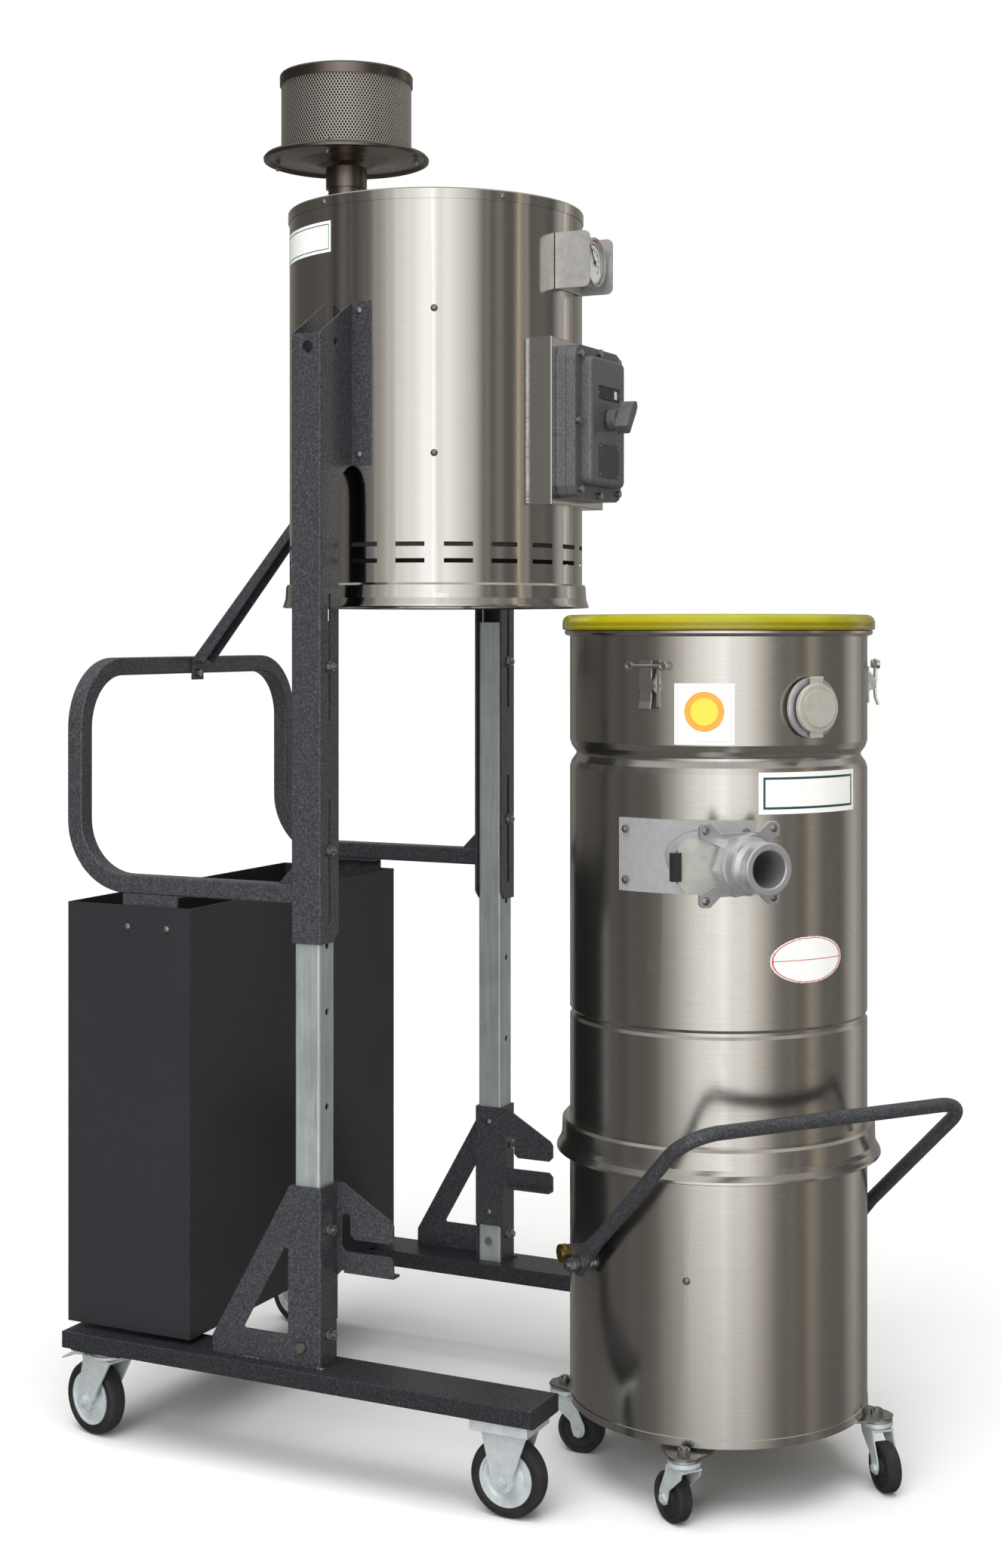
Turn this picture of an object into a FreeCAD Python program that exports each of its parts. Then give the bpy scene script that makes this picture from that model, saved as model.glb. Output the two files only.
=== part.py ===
import FreeCAD, Part
import math
import os
import Sketcher
from FreeCAD import Vector, Placement, Rotation

# Mobile dust collector: a wheeled gantry with two telescoping columns carries the motor head,
# and a separate wheeled tank (canister on a bin) stands in front of it.
# +X forward (the way the tank rolls out), +Y to the left, +Z up, millimetres, floor at z = 0.
# The gantry, head and tank share the mid-plane y = 0 before the origin shift.

doc = FreeCAD.newDocument("dust_collector")
sheet = doc.addObject("Spreadsheet::Sheet", "Dims")


class Q:
    """A size with the spreadsheet expression that drives it."""
    def __init__(self, value, text=None):
        self.v = float(value)
        self.e = text

    def _mix(self, other, op, fn):
        o = other if isinstance(other, Q) else Q(other)
        text = None
        if self.e is not None or o.e is not None:
            text = "(%s %s %s)" % (self.t(), op, o.t())
        return Q(fn(self.v, o.v), text)

    def t(self):
        return self.e if self.e is not None else "(%.6f)" % self.v

    def __add__(self, o): return self._mix(o, "+", lambda a, b: a + b)
    def __sub__(self, o): return self._mix(o, "-", lambda a, b: a - b)
    def __mul__(self, o): return self._mix(o, "*", lambda a, b: a * b)
    def __truediv__(self, o): return self._mix(o, "/", lambda a, b: a / b)
    def __radd__(self, o): return Q(o) + self
    def __rsub__(self, o): return Q(o) - self
    def __rmul__(self, o): return Q(o) * self
    def __neg__(self): return Q(0) - self


def V(x):
    return x.v if isinstance(x, Q) else float(x)


_row = [0]


def dim(alias, value):
    _row[0] += 1
    sheet.set("A%d" % _row[0], alias)
    sheet.set("B%d" % _row[0], repr(value))
    sheet.setAlias("B%d" % _row[0], alias)
    return Q(value, "Dims." + alias)


def bind(obj, prop, q):
    if isinstance(q, Q) and q.e is not None:
        obj.setExpression(prop, q.e)


# ---- driving dimensions -------------------------------------------------------------
shift_x = dim("shift_x", 148.6)
shift_y = dim("shift_y", 5.647)
rail_half_span = dim("rail_half_span", 305.75)
rail_width = dim("rail_width", 76.0)
rail_bottom = dim("rail_bottom", 126.0)
rail_top = dim("rail_top", 149.5)
rail_length = dim("rail_length", 714.0)
rail_wall = dim("rail_wall", 3.0)
cap_thick = dim("cap_thick", 2.0)
column_x = dim("column_x", -334.0)
column_y = dim("column_y", 267.75)
column_size = dim("column_size", 38.0)
column_wall = dim("column_wall", 2.5)
column_top = dim("column_top", 1122.0)
sheet_thick = dim("sheet_thick", 3.0)
fit_gap = dim("fit_gap", 0.3)
bracket_top = dim("bracket_top", 385.0)
channel_bottom = dim("channel_bottom", 701.0)
channel_top = dim("channel_top", 1497.0)
head_x = dim("head_x", -295.0)
head_radius = dim("head_radius", 206.0)
head_wall = dim("head_wall", 2.0)
head_bottom = dim("head_bottom", 1173.0)
head_top = dim("head_top", 1695.0)
skirt_bottom = dim("skirt_bottom", 1141.0)
vent_width = dim("vent_width", 39.0)
vent_height = dim("vent_height", 6.0)
exhaust_x = dim("exhaust_x", -441.0)
pipe_radius = dim("pipe_radius", 26.0)
screen_radius = dim("screen_radius", 93.5)
dish_radius = dim("dish_radius", 115.0)
handle_size = dim("handle_size", 25.0)
handle_x = dim("handle_x", -711.5)
handle_low = dim("handle_low", 763.5)
handle_high = dim("handle_high", 1058.5)
handle_bend = dim("handle_bend", 85.0)
box_rear = dim("box_rear", -720.0)
box_front = dim("box_front", -519.0)
box_half = dim("box_half", 283.0)
box_bottom = dim("box_bottom", 157.0)
box_top = dim("box_top", 735.5)
box_wall = dim("box_wall", 2.0)
tank_x = dim("tank_x", 127.0)
tank_radius = dim("tank_radius", 196.0)
tank_wall = dim("tank_wall", 2.0)
bin_bottom = dim("bin_bottom", 95.0)
bin_top = dim("bin_top", 441.0)
tank_top = dim("tank_top", 1110.0)
gasket_radius = dim("gasket_radius", 206.0)
gasket_top = dim("gasket_top", 1130.0)
wheel_radius = dim("wheel_radius", 50.0)
wheel_width = dim("wheel_width", 30.0)
rim_radius = dim("rim_radius", 36.0)
axle_radius = dim("axle_radius", 5.0)
trail = dim("trail", 28.0)
small_wheel_radius = dim("small_wheel_radius", 31.5)
small_wheel_width = dim("small_wheel_width", 21.0)
small_trail = dim("small_trail", 24.0)
caster_ring = dim("caster_ring", 210.0)
bail_half = dim("bail_half", 212.0)
bail_length = dim("bail_length", 334.0)
bail_tube = dim("bail_tube", 9.0)
bail_pivot_z = dim("bail_pivot_z", 297.0)
inlet_z = dim("inlet_z", 828.0)
inlet_offset = dim("inlet_offset", 120.0)
inlet_bore = dim("inlet_bore", 22.5)
inlet_nose = dim("inlet_nose", 31.5)
knob_z = dim("knob_z", 1395.0)
gauge_z = dim("gauge_z", 1611.0)
doc.recompute()

_count = [0]


def uid(stem):
    _count[0] += 1
    return "%s_%d" % (stem, _count[0])


def place(obj, x, y, z, rot=None):
    """Put an object at x, y, z of the design, moved to the part's own origin."""
    x = x if isinstance(x, Q) else Q(x)
    y = y if isinstance(y, Q) else Q(y)
    z = z if isinstance(z, Q) else Q(z)
    x = x + shift_x
    y = y + shift_y
    obj.Placement = Placement(Vector(x.v, y.v, z.v), rot if rot else Rotation())
    bind(obj, "Placement.Base.x", x)
    bind(obj, "Placement.Base.y", y)
    bind(obj, "Placement.Base.z", z)
    return obj


def along(direction):
    return Rotation(Vector(0, 0, 1), Vector(*direction))


def yaw(deg):
    return Rotation(Vector(0, 0, 1), deg)


# ---- primitives ----------------------------------------------------------------------
def box(x0, x1, y0, y1, z0, z1):
    o = doc.addObject("Part::Box", uid("Box"))
    for p, a, b in (("Length", x0, x1), ("Width", y0, y1), ("Height", z0, z1)):
        d = (b if isinstance(b, Q) else Q(b)) - a
        setattr(o, p, d.v)
        bind(o, p, d)
    return place(o, x0, y0, z0)


def rbox(px, py, pz, rot, lx, ly, lz, cx=0.5, cy=0.5, cz=0.5):
    """A box centred at a point in its own turned frame."""
    o = doc.addObject("Part::Box", uid("Box"))
    for p, d in (("Length", lx), ("Width", ly), ("Height", lz)):
        setattr(o, p, V(d))
        bind(o, p, d)
    off = rot.multVec(Vector(-V(lx) * cx, -V(ly) * cy, -V(lz) * cz))
    return place(o, px + off.x if not isinstance(px, Q) else px + off.x,
                 py + off.y, pz + off.z, rot)


def cyl(x, y, z, direction, r, length, angle=360.0, rot=None):
    o = doc.addObject("Part::Cylinder", uid("Cyl"))
    o.Radius = V(r)
    o.Height = V(length)
    o.Angle = angle
    bind(o, "Radius", r)
    bind(o, "Height", length)
    return place(o, x, y, z, rot if rot else along(direction))


def cone(x, y, z, direction, r1, r2, length):
    o = doc.addObject("Part::Cone", uid("Cone"))
    o.Radius1, o.Radius2, o.Height = V(r1), V(r2), V(length)
    bind(o, "Radius1", r1)
    bind(o, "Radius2", r2)
    bind(o, "Height", length)
    return place(o, x, y, z, along(direction))


def fuse(parts):
    if len(parts) == 1:
        return parts[0]
    o = doc.addObject("Part::MultiFuse", uid("Fuse"))
    o.Shapes = parts
    o.Refine = True
    return o


def cut(base, tools):
    o = doc.addObject("Part::Cut", uid("Cut"))
    o.Base = base
    o.Tool = fuse(tools) if len(tools) > 1 else tools[0]
    o.Refine = True
    return o


def group(parts):
    o = doc.addObject("Part::Compound", uid("Group"))
    o.Links = parts
    return o


def mirrored(obj):
    o = doc.addObject("Part::Mirroring", uid("Mirror"))
    o.Source = obj
    o.Normal = Vector(0, 1, 0)
    o.Base = Vector(0, shift_y.v, 0)
    o.setExpression("Base.y", "Dims.shift_y")
    return o


# ---- PartDesign helpers ----------------------------------------------------------------
class Bod:
    """A PartDesign body built from constrained sketches bound to the sheet."""
    def __init__(self, x=0, y=0, z=0, rot=None):
        self.b = doc.addObject("PartDesign::Body", uid("Body"))
        if hasattr(self.b, "AllowCompound"):
            self.b.AllowCompound = True
        place(self.b, x, y, z, rot)

    def sketch(self, plane, loops, at=0):
        sk = self.b.newObject("Sketcher::SketchObject", uid("Sketch"))
        pl = [o for o in self.b.Origin.OriginFeatures if o.Role == plane + "_Plane"][0]
        sk.AttachmentSupport = [(pl, "")]
        sk.MapMode = "FlatFace"
        off = -at if plane == "XZ" else at
        off = off if isinstance(off, Q) else Q(off)
        sk.AttachmentOffset = Placement(Vector(0, 0, off.v), Rotation())
        bind(sk, "AttachmentOffset.Base.z", off)
        for loop in loops:
            if loop[0] == "circle":
                _, cx, cy, r = loop
                g = sk.addGeometry(Part.Circle(Vector(V(cx), V(cy), 0), Vector(0, 0, 1), V(r)), False)
                k = sk.addConstraint(Sketcher.Constraint("Radius", g, V(r)))
                bind(sk, "Constraints[%d]" % k, r)
                self._fix(sk, g, 3, cx, cy)
                continue
            n = len(loop)
            first = None
            gs = []
            for i in range(n):
                a, b = loop[i], loop[(i + 1) % n]
                gs.append(sk.addGeometry(Part.LineSegment(Vector(V(a[0]), V(a[1]), 0),
                                                          Vector(V(b[0]), V(b[1]), 0)), False))
            for i in range(n):
                sk.addConstraint(Sketcher.Constraint("Coincident", gs[i], 2, gs[(i + 1) % n], 1))
            for i in range(n):
                self._fix(sk, gs[i], 1, loop[i][0], loop[i][1])
        return sk

    def _fix(self, sk, g, pt, x, y):
        for kind, val in (("DistanceX", x), ("DistanceY", y)):
            k = sk.addConstraint(Sketcher.Constraint(kind, -1, 1, g, pt, V(val)))
            bind(sk, "Constraints[%d]" % k, val)

    def pad(self, plane, loops, lo, hi):
        """Solid between lo and hi along the plane's own axis."""
        d = (hi if isinstance(hi, Q) else Q(hi)) - lo
        at = hi if plane == "XZ" else lo
        sk = self.sketch(plane, loops, at)
        f = self.b.newObject("PartDesign::Pad", uid("Pad"))
        f.Profile = sk
        f.Length = d.v
        bind(f, "Length", d)
        self.b.Tip = f
        return f

    def pocket(self, plane, loops, lo, hi):
        d = (hi if isinstance(hi, Q) else Q(hi)) - lo
        at = lo if plane == "XZ" else hi
        sk = self.sketch(plane, loops, at)
        f = self.b.newObject("PartDesign::Pocket", uid("Pocket"))
        f.Profile = sk
        f.Length = d.v
        bind(f, "Length", d)
        self.b.Tip = f
        return f

    def turn(self, loop, groove=False):
        """Revolve an (r, z) outline about the body's own Z axis."""
        sk = self.sketch("XZ", [loop], 0)
        f = self.b.newObject("PartDesign::Groove" if groove else "PartDesign::Revolution", uid("Turn"))
        f.Profile = sk
        f.ReferenceAxis = (sk, ["V_Axis"])
        f.Angle = 360.0
        self.b.Tip = f
        return f

    def polar(self, feats, n, angle=360.0):
        f = self.b.newObject("PartDesign::PolarPattern", uid("Polar"))
        f.Originals = feats
        axis = [o for o in self.b.Origin.OriginFeatures if o.Role == "Z_Axis"][0]
        f.Axis = (axis, [""])
        f.Angle = angle
        f.Occurrences = n
        self.b.Tip = f
        return f

    def fillet(self, points, r, kind="PartDesign::Fillet"):
        """Round the straight or round edges that pass within 0.6 mm of the points, in body coordinates."""
        doc.recompute()
        tip = self.b.Tip
        shape = tip.Shape
        names = []
        for i, e in enumerate(shape.Edges):
            for p in points:
                v = Part.Vertex(Vector(*p))
                if e.distToShape(v)[0] < 0.6:
                    names.append("Edge%d" % (i + 1))
                    break
        if not names:
            raise RuntimeError("no edge near %s" % (points,))
        f = self.b.newObject(kind, uid("Round"))
        f.Base = (tip, names)
        if kind.endswith("Fillet"):
            f.Radius = r
        else:
            f.Size = r
        self.b.Tip = f
        doc.recompute()
        if "Invalid" in f.State or f.Shape.isNull():
            raise RuntimeError("round failed at %s" % (points,))
        return f


def rect(x0, x1, y0, y1):
    return [(x0, y0), (x1, y0), (x1, y1), (x0, y1)]


nodes = []


def node(label, obj):
    if isinstance(obj, Bod):
        obj = obj.b
    obj.Label = label
    nodes.append(obj)
    return obj


# ---- fasteners -----------------------------------------------------------------------
def hexagon(x, y, z, direction, af, height):
    o = doc.addObject("Part::Prism", uid("Hex"))
    o.Polygon = 6
    o.Circumradius = af / math.sqrt(3.0)
    o.Height = height
    return place(o, x, y, z, along(direction))


def hex_bolt(x, y, z, d, shank, length, af=13.0, head=5.3, washer=True):
    """Head stands out along d from the seat point, the shank goes the other way."""
    parts = []
    off = 1.4 if washer else 0.0
    if washer:
        parts.append(cyl(x, y, z, d, af * 0.62, 1.4))
    parts.append(hexagon(x + d[0] * off, y + d[1] * off, z + d[2] * off, d, af, head))
    nd = (-d[0], -d[1], -d[2])
    parts.append(cyl(x + d[0] * 0.5, y + d[1] * 0.5, z + d[2] * 0.5, nd, shank, length + 0.5))
    return fuse(parts)


def dome_screw(x, y, z, d, shank, length, head=4.8, height=2.6):
    parts = []
    R = (head * head + height * height) / (2 * height)
    s = doc.addObject("Part::Sphere", uid("Dome"))
    s.Radius = R
    s.Angle1 = math.degrees(math.asin((R - height) / R))
    s.Angle2 = 90
    s.Angle3 = 360
    c = -(R - height)
    place(s, x + d[0] * c, y + d[1] * c, z + d[2] * c, along(d))
    nd = (-d[0], -d[1], -d[2])
    shank_part = cyl(x + d[0] * 0.8, y + d[1] * 0.8, z + d[2] * 0.8, nd, shank, length + 0.8)
    body = fuse([s, shank_part])
    top = height
    rot = along(d)
    slots = []
    for turn in (30.0, 120.0):
        r = rot.multiply(Rotation(Vector(0, 0, 1), turn))
        slots.append(rbox(x + d[0] * top, y + d[1] * top, z + d[2] * top, r, head * 1.15, 0.9, 2.4))
    return cut(body, slots)


def holes(items):
    """Clearance cylinders through plates: (x, y, z, direction, radius, back, forward)."""
    out = []
    for x, y, z, d, r, back, fwd in items:
        out.append(cyl(x - d[0] * back, y - d[1] * back, z - d[2] * back, d, r, back + fwd))
    return out


PX, NX, PY, NY, PZ, NZ = (1, 0, 0), (-1, 0, 0), (0, 1, 0), (0, -1, 0), (0, 0, 1), (0, 0, -1)

# ======================================================================================
# Gantry
# ======================================================================================
rail = Bod()
ry0 = -rail_half_span
ry1 = -rail_half_span + rail_width
rail.pad("YZ", [rect(ry0, ry1, rail_bottom, rail_top),
                rect(ry0 + rail_wall, ry1 - rail_wall, rail_bottom + rail_wall, rail_top - rail_wall)],
         -rail_length + cap_thick, -cap_thick)
rail.fillet([(-300, ry0.v, 126), (-300, ry0.v, 149.5), (-300, ry1.v, 126), (-300, ry1.v, 149.5)], 2.4)
rail_left = mirrored(rail.b)
cross = Bod()
cross.pad("XZ", [rect(-625, -575, rail_bottom, rail_top),
                 rect(-622, -578, rail_bottom + rail_wall, rail_top - rail_wall)], ry1, -ry1)
frame_parts = [rail.b, rail_left, cross.b]

caps = []
for x0, x1, p0, p1 in ((-rail_length, -rail_length + cap_thick, -rail_length + cap_thick, -rail_length + 12),
                       (-cap_thick, Q(0), Q(-12), -cap_thick)):
    plate = box(x0, x1, ry0 + 0.8, ry1 - 0.8, rail_bottom + 0.8, rail_top - 0.8)
    plug = box(p0, p1, ry0 + rail_wall + 0.3, ry1 - rail_wall - 0.3,
               rail_bottom + rail_wall + 0.3, rail_top - rail_wall - 0.3)
    c = fuse([plate, plug])
    caps += [c, mirrored(c)]
node("rail_end_caps", group(caps))

# column tube with its cross holes
cx0, cx1 = column_x - column_size / 2, column_x + column_size / 2
cy0, cy1 = -column_y - column_size / 2, -column_y + column_size / 2
col = Bod()
col.pad("XY", [rect(cx0, cx1, cy0, cy1),
               rect(cx0 + column_wall, cx1 - column_wall, cy0 + column_wall, cy1 - column_wall)],
        rail_top, column_top)
col.fillet([(cx0.v, cy0.v, 600), (cx1.v, cy0.v, 600), (cx0.v, cy1.v, 600), (cx1.v, cy1.v, 600)], 4.0)
slot_z = (1062.0, 822.0)
hz = [("circle", -column_y, z, 4.6) for z in (487.0, 611.0, 698.0)]
hz += [("circle", -column_y, z, 3.3) for z in slot_z]
col.pocket("YZ", hz, cx0 - 5, cx1 + 5)
col.pocket("YZ", [("circle", -column_y, z, 4.3) for z in (190.0, 327.0)], cx1 - 8, cx1 + 5)
col.pocket("XZ", [("circle", -340.0, 176.0, 4.3)], cy0 - 5, cy0 + 8)
col.pocket("XZ", [("circle", -334.0, 225.0, 3.2), ("circle", -334.0, 362.0, 3.2), ("circle", -334.0, 181.0, 3.2)],
           cy1 - 8, cy1 + 5)
node("column_tubes", group([col.b, mirrored(col.b)]))

# lower bracket: web outside the tube with a rear gusset, a flange on each side of the tube
wy0 = cy0 - fit_gap - sheet_thick + 0.1
wy1 = cy0 - fit_gap + 0.1
fx0, fx1 = cx0 - 0.3 - sheet_thick, cx0 - 0.3
gx0, gx1 = cx1 + 0.3, cx1 + 0.3 + sheet_thick
br = Bod()
br.pad("XZ", [[(fx0 - 122, rail_top), (gx1, rail_top), (gx1, bracket_top), (fx0 - 2, bracket_top), (fx0 - 122, Q(173))],
              [(-361.0, 189.0), (-361.0, 302.0), (-367.0, 302.0), (-431.0, 189.0)]], wy0, wy1)
br.pad("XY", [rect(gx0, gx1, wy0, cy1)], rail_top, bracket_top)
br.pad("XY", [rect(fx0, fx1, wy0, cy1)], rail_top, bracket_top)
br.fillet([(gx1.v, wy0.v, 250), (-361.0, (wy0.v + wy1.v) / 2, 189.0), (-431.0, (wy0.v + wy1.v) / 2, 189.0),
           (fx0.v - 2, (wy0.v + wy1.v) / 2, 385.0)], 2.6)
br.pocket("YZ", [("circle", -column_y, z, 4.3) for z in (190.0, 327.0)], gx0 - 1, gx1 + 5)
br.pocket("XZ", [("circle", -340.0, 176.0, 4.3)], wy0 - 5, wy1 + 1)
node("base_brackets", group([br.b, mirrored(br.b)]))

# inner plate with the forward hook that takes the roller of the bin's bail
hy0, hy1 = cy1 + 0.2, cy1 + 3.2
hk = Bod()
hk.pad("XZ", [[(-356.0, 205.0), (-312.0, 205.0), (-312.0, 262.0), (-304.0, 270.0), (-227.0, 270.0), (-227.0, 289.0),
               (-233.0, 295.0), (-299.0, 295.0), (-305.0, 301.0), (-305.0, 340.0), (-301.0, 345.0), (-295.0, 345.0), (-291.0, 340.0),
               (-291.0, 318.0), (-285.0, 312.0), (-233.0, 312.0), (-227.0, 318.0), (-227.0, 336.0), (-231.0, 342.0),
               (-303.0, 385.0), (-356.0, 385.0)]], hy0, hy1)
hk.pad("XY", [rect(-301.0, -227.0, hy0, hy1 + 14)], 267.0, 270.2)
hk.pocket("XZ", [("circle", -334.0, 225.0, 3.3), ("circle", -334.0, 362.0, 3.3)], hy0 - 1, hy1 + 1)
node("hook_plates", group([hk.b, mirrored(hk.b)]))

# bolts that belong to the gantry; the slot bolts clamp the sliding channels
bolts = []
yc = -column_y
for z in (190.0, 327.0):
    bolts.append(fuse([cyl(gx1, yc, z, PX, 8.2, 1.4), hexagon(gx1 + 1.4, yc, z, PX, 13.0, 6.0),
                       cyl(gx1 + 10.6, yc, z, NX, 4.0, 19.0)]))
bolts.append(hex_bolt(Q(-340.0), wy0, Q(176.0), NY, 4.0, 9.0, washer=False))
for z in slot_z:
    ox1 = gx1 + 0.3
    ox0 = fx0 - 0.3
    if z == slot_z[0]:
        bolts.append(fuse([cyl(ox1, yc, z, PX, 8.0, 1.4), hexagon(ox1 + 1.4, yc, z, PX, 12.0, 5.0),
                           cyl(ox0, yc, z, NX, 8.0, 1.4), hexagon(ox0 - 1.4, yc, z, NX, 12.0, 5.0),
                           cyl(ox0 - 1.0, yc, z, PX, 3.0, ox1 - ox0 + 10.5)]))
    else:
        # the lower pair is tapped into the column, so that the arms of the push handle pass behind it
        bolts.append(fuse([cyl(ox1, yc, z, PX, 8.0, 1.4), hexagon(ox1 + 1.4, yc, z, PX, 12.0, 5.0),
                           cyl(cx0 + 0.5, yc, z, PX, 3.0, ox1 - cx0 + 9.0)]))
for z in (225.0, 362.0):
    bolts.append(dome_screw(Q(-334.0), hy1, Q(z), PY, 3.0, 7.0, head=5.5, height=3.0))
bolts.append(fuse([cyl(-334.0, cy1 + 0.1, 181.0, PY, 5.5, 6.0), cyl(-334.0, cy1 + 0.5, 181.0, NY, 3.0, 6.0)]))
allb = []
for b in bolts:
    allb += [b, mirrored(b)]
node("gantry_bolts", group(allb))


# ---- gantry casters ---------------------------------------------------------------------
def leg_outline(top_half, top_z, x_axle, z_axle, r):
    pts = [(-top_half, top_z), (top_half + 4, top_z)]
    for a in (20, -10, -40, -65, -90, -115, -140, -170):
        pts.append((x_axle + r * math.cos(math.radians(a)), z_axle + r * math.sin(math.radians(a))))
    return pts


def big_fork(x, y, rot, swivel):
    t = trail if swivel else Q(0)
    f = Bod(x, y, 0, rot)
    half = wheel_width / 2
    # two pressed cheeks
    out = leg_outline(26.0 if swivel else 30.0, 112.0, t.v, wheel_radius.v, 15.0)
    f.pad("XZ", [out], -half - 6.0, -half - 3.0)
    f.pad("XZ", [out], half + 3.0, half + 6.0)
    f.pad("XY", [rect(-26.0 if swivel else -30.0, 30.0 if swivel else 34.0, -half - 6.0, half + 6.0)], 109.0, 112.2)
    if swivel:
        f.pad("XY", [("circle", 0.0, 0.0, 24.0)], 112.0, 119.5)
        f.pad("XY", [("circle", 0.0, 0.0, 29.0)], 113.5, 117.5)
        f.pad("XY", [("circle", 0.0, 0.0, 7.0)], 105.0, 122.8)
    else:
        f.pad("XY", [rect(-40.0, 40.0, -33.0, 33.0)], 112.0, 115.2)
        f.pad("XY", [rect(-40.0, 40.0, -33.0, 33.0)], 115.0, rail_bottom)
    # axle with a hex nut on each end
    a = cyl(x + rot.multVec(Vector(t.v, 0, 0)).x, y + rot.multVec(Vector(t.v, 0, 0)).y, wheel_radius,
            tuple(rot.multVec(Vector(0, 1, 0))), axle_radius, half * 2 + 24.0)
    v = rot.multVec(Vector(t.v, -half.v - 12.0, 0))
    place(a, x + v.x, y + v.y, wheel_radius, along(tuple(rot.multVec(Vector(0, 1, 0)))))
    parts = [f.b, a]
    for s in (-1, 1):
        v = rot.multVec(Vector(t.v, s * (half.v + 6.0), 0))
        h = hexagon(x + v.x, y + v.y, wheel_radius, tuple(rot.multVec(Vector(0, s, 0))), 13.0, 4.5)
        parts.append(h)
    return fuse(parts)


def big_wheel(x, y, rot, t):
    v = rot.multVec(Vector(t, 0, 0))
    base = rot.multiply(Rotation(Vector(1, 0, 0), 90))
    tyre = Bod(x + v.x, y + v.y, wheel_radius, base)
    hw = wheel_width / 2
    R = wheel_radius
    tyre.turn([(rim_radius + 0.0, -hw + 4), (R - 9, -hw + 1.5), (R - 4, -hw + 2.0), (R - 1.2, -hw + 5), (R, -hw + 9),
               (R, hw - 9), (R - 1.2, hw - 5), (R - 4, hw - 2.0), (R - 9, hw - 1.5), (rim_radius + 0.0, hw - 4)])
    rim = Bod(x + v.x, y + v.y, wheel_radius, base)
    ri = axle_radius + 0.05
    rim.turn([(ri, -hw + 1), (12.0, -hw + 1), (14.0, -hw + 5), (24.0, -hw + 7), (28.0, -hw + 4), (32.0, -hw + 4),
              (33.0, -hw + 2.5), (rim_radius - 0.02, -hw + 2.5), (rim_radius - 0.02, hw - 2.5), (33.0, hw - 2.5), (32.0, hw - 4),
              (28.0, hw - 4), (24.0, hw - 7), (14.0, hw - 5), (12.0, hw - 1), (ri, hw - 1)])
    return tyre, rim


front_x = Q(-50.5)
rear_x = Q(-662.0)
fwd = Rotation()
turned = yaw(165.0)
fork_r = big_fork(front_x, -column_y, fwd, False)
fork_l = big_fork(front_x, column_y, fwd, False)
node("front_forks", group([fork_r, fork_l]))
for side, sy in (("right", -column_y), ("left", column_y)):
    ty, ri = big_wheel(front_x, sy, fwd, 0.0)
    node("front_wheel_" + side, group([ty.b, ri.b]))
plates = []
for side, sy in (("right", -column_y), ("left", column_y)):
    node("rear_fork_" + side, big_fork(rear_x, sy, turned, True))
    ty, ri = big_wheel(rear_x, sy, turned, trail.v)
    node("rear_wheel_" + side, group([ty.b, ri.b]))
    top = box(rear_x - 40.0, rear_x + 40.0, sy - 33.0, sy + 33.0, Q(123.0), rail_bottom)
    plates.append(cut(top, [cyl(rear_x, sy, 120.0, PZ, 7.2, 2.9 + 3.0)]))
    # brake pedal: a bent lever over the tyre
    pd = Bod(rear_x, sy, 0, turned)
    pd.pad("XZ", [[(36.0, 104.5), (44.0, 106.5), (70.0, 101.0), (88.0, 92.0), (89.5, 94.0), (71.0, 104.0), (44.0, 109.5), (36.0, 107.6)]],
           -12.0, 12.0)
    pd.pad("XZ", [("circle", 38.0, 105.8, 3.6)], -14.0, 14.0)
    node("brake_pedal_" + side, pd)
node("base_frame", fuse(frame_parts + plates))

# ======================================================================================
# Lift frame: the channels, push handle, storage box and head rise together
# ======================================================================================
ch = Bod()
fl_in = -column_y + 23.0 + 1.2          # flange edge, about y = -243.5
chan_web = rect(fx0, gx1, wy0, wy1)
ch.pad("XY", [chan_web], channel_bottom, channel_top)
profile = [(wy0, channel_bottom), (fl_in - 12, channel_bottom), (fl_in, channel_bottom + 12), (fl_in, Q(1290.0)),
           (fl_in + 3, Q(1306.0)), (fl_in + 12, Q(1318.0)), (fl_in + 24, Q(1326.0)), (Q(-206.6), Q(1329.0)), (Q(-206.6), Q(1547.0)), (wy0, channel_top)]
ch.pad("YZ", [profile], gx0, gx1)
ch.pad("YZ", [profile], fx0, fx1)
ch.pad("XZ", [rect(gx0, Q(-284.0), Q(1329.0), Q(1547.0))], Q(-209.4), Q(-206.4))
ch.fillet([(gx1.v, wy0.v, 1000), (fx0.v, wy0.v, 1000)], 2.6)
slots = []
for z0, z1 in ((993.0, 1157.0), (726.0, 889.0)):
    slots.append(rect(-column_y - 3.3, -column_y + 3.3, z0, z1))
ch.pocket("YZ", slots, fx0 - 5, gx1 + 5)
ch.pocket("XZ", [("circle", -331.0, 1479.0, 8.0)], wy0 - 5, wy1 + 5)
ch.pocket("YZ", [("circle", -250.7, 1489.0, 5.5)], gx0 - 2, gx1 + 5)
ch.pocket("XZ", [("circle", -301.0, 1534.0, 2.7), ("circle", -301.0, 1343.0, 2.7)], -215.0, -200.0)
node("lift_channels", group([ch.b, mirrored(ch.b)]))


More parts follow.
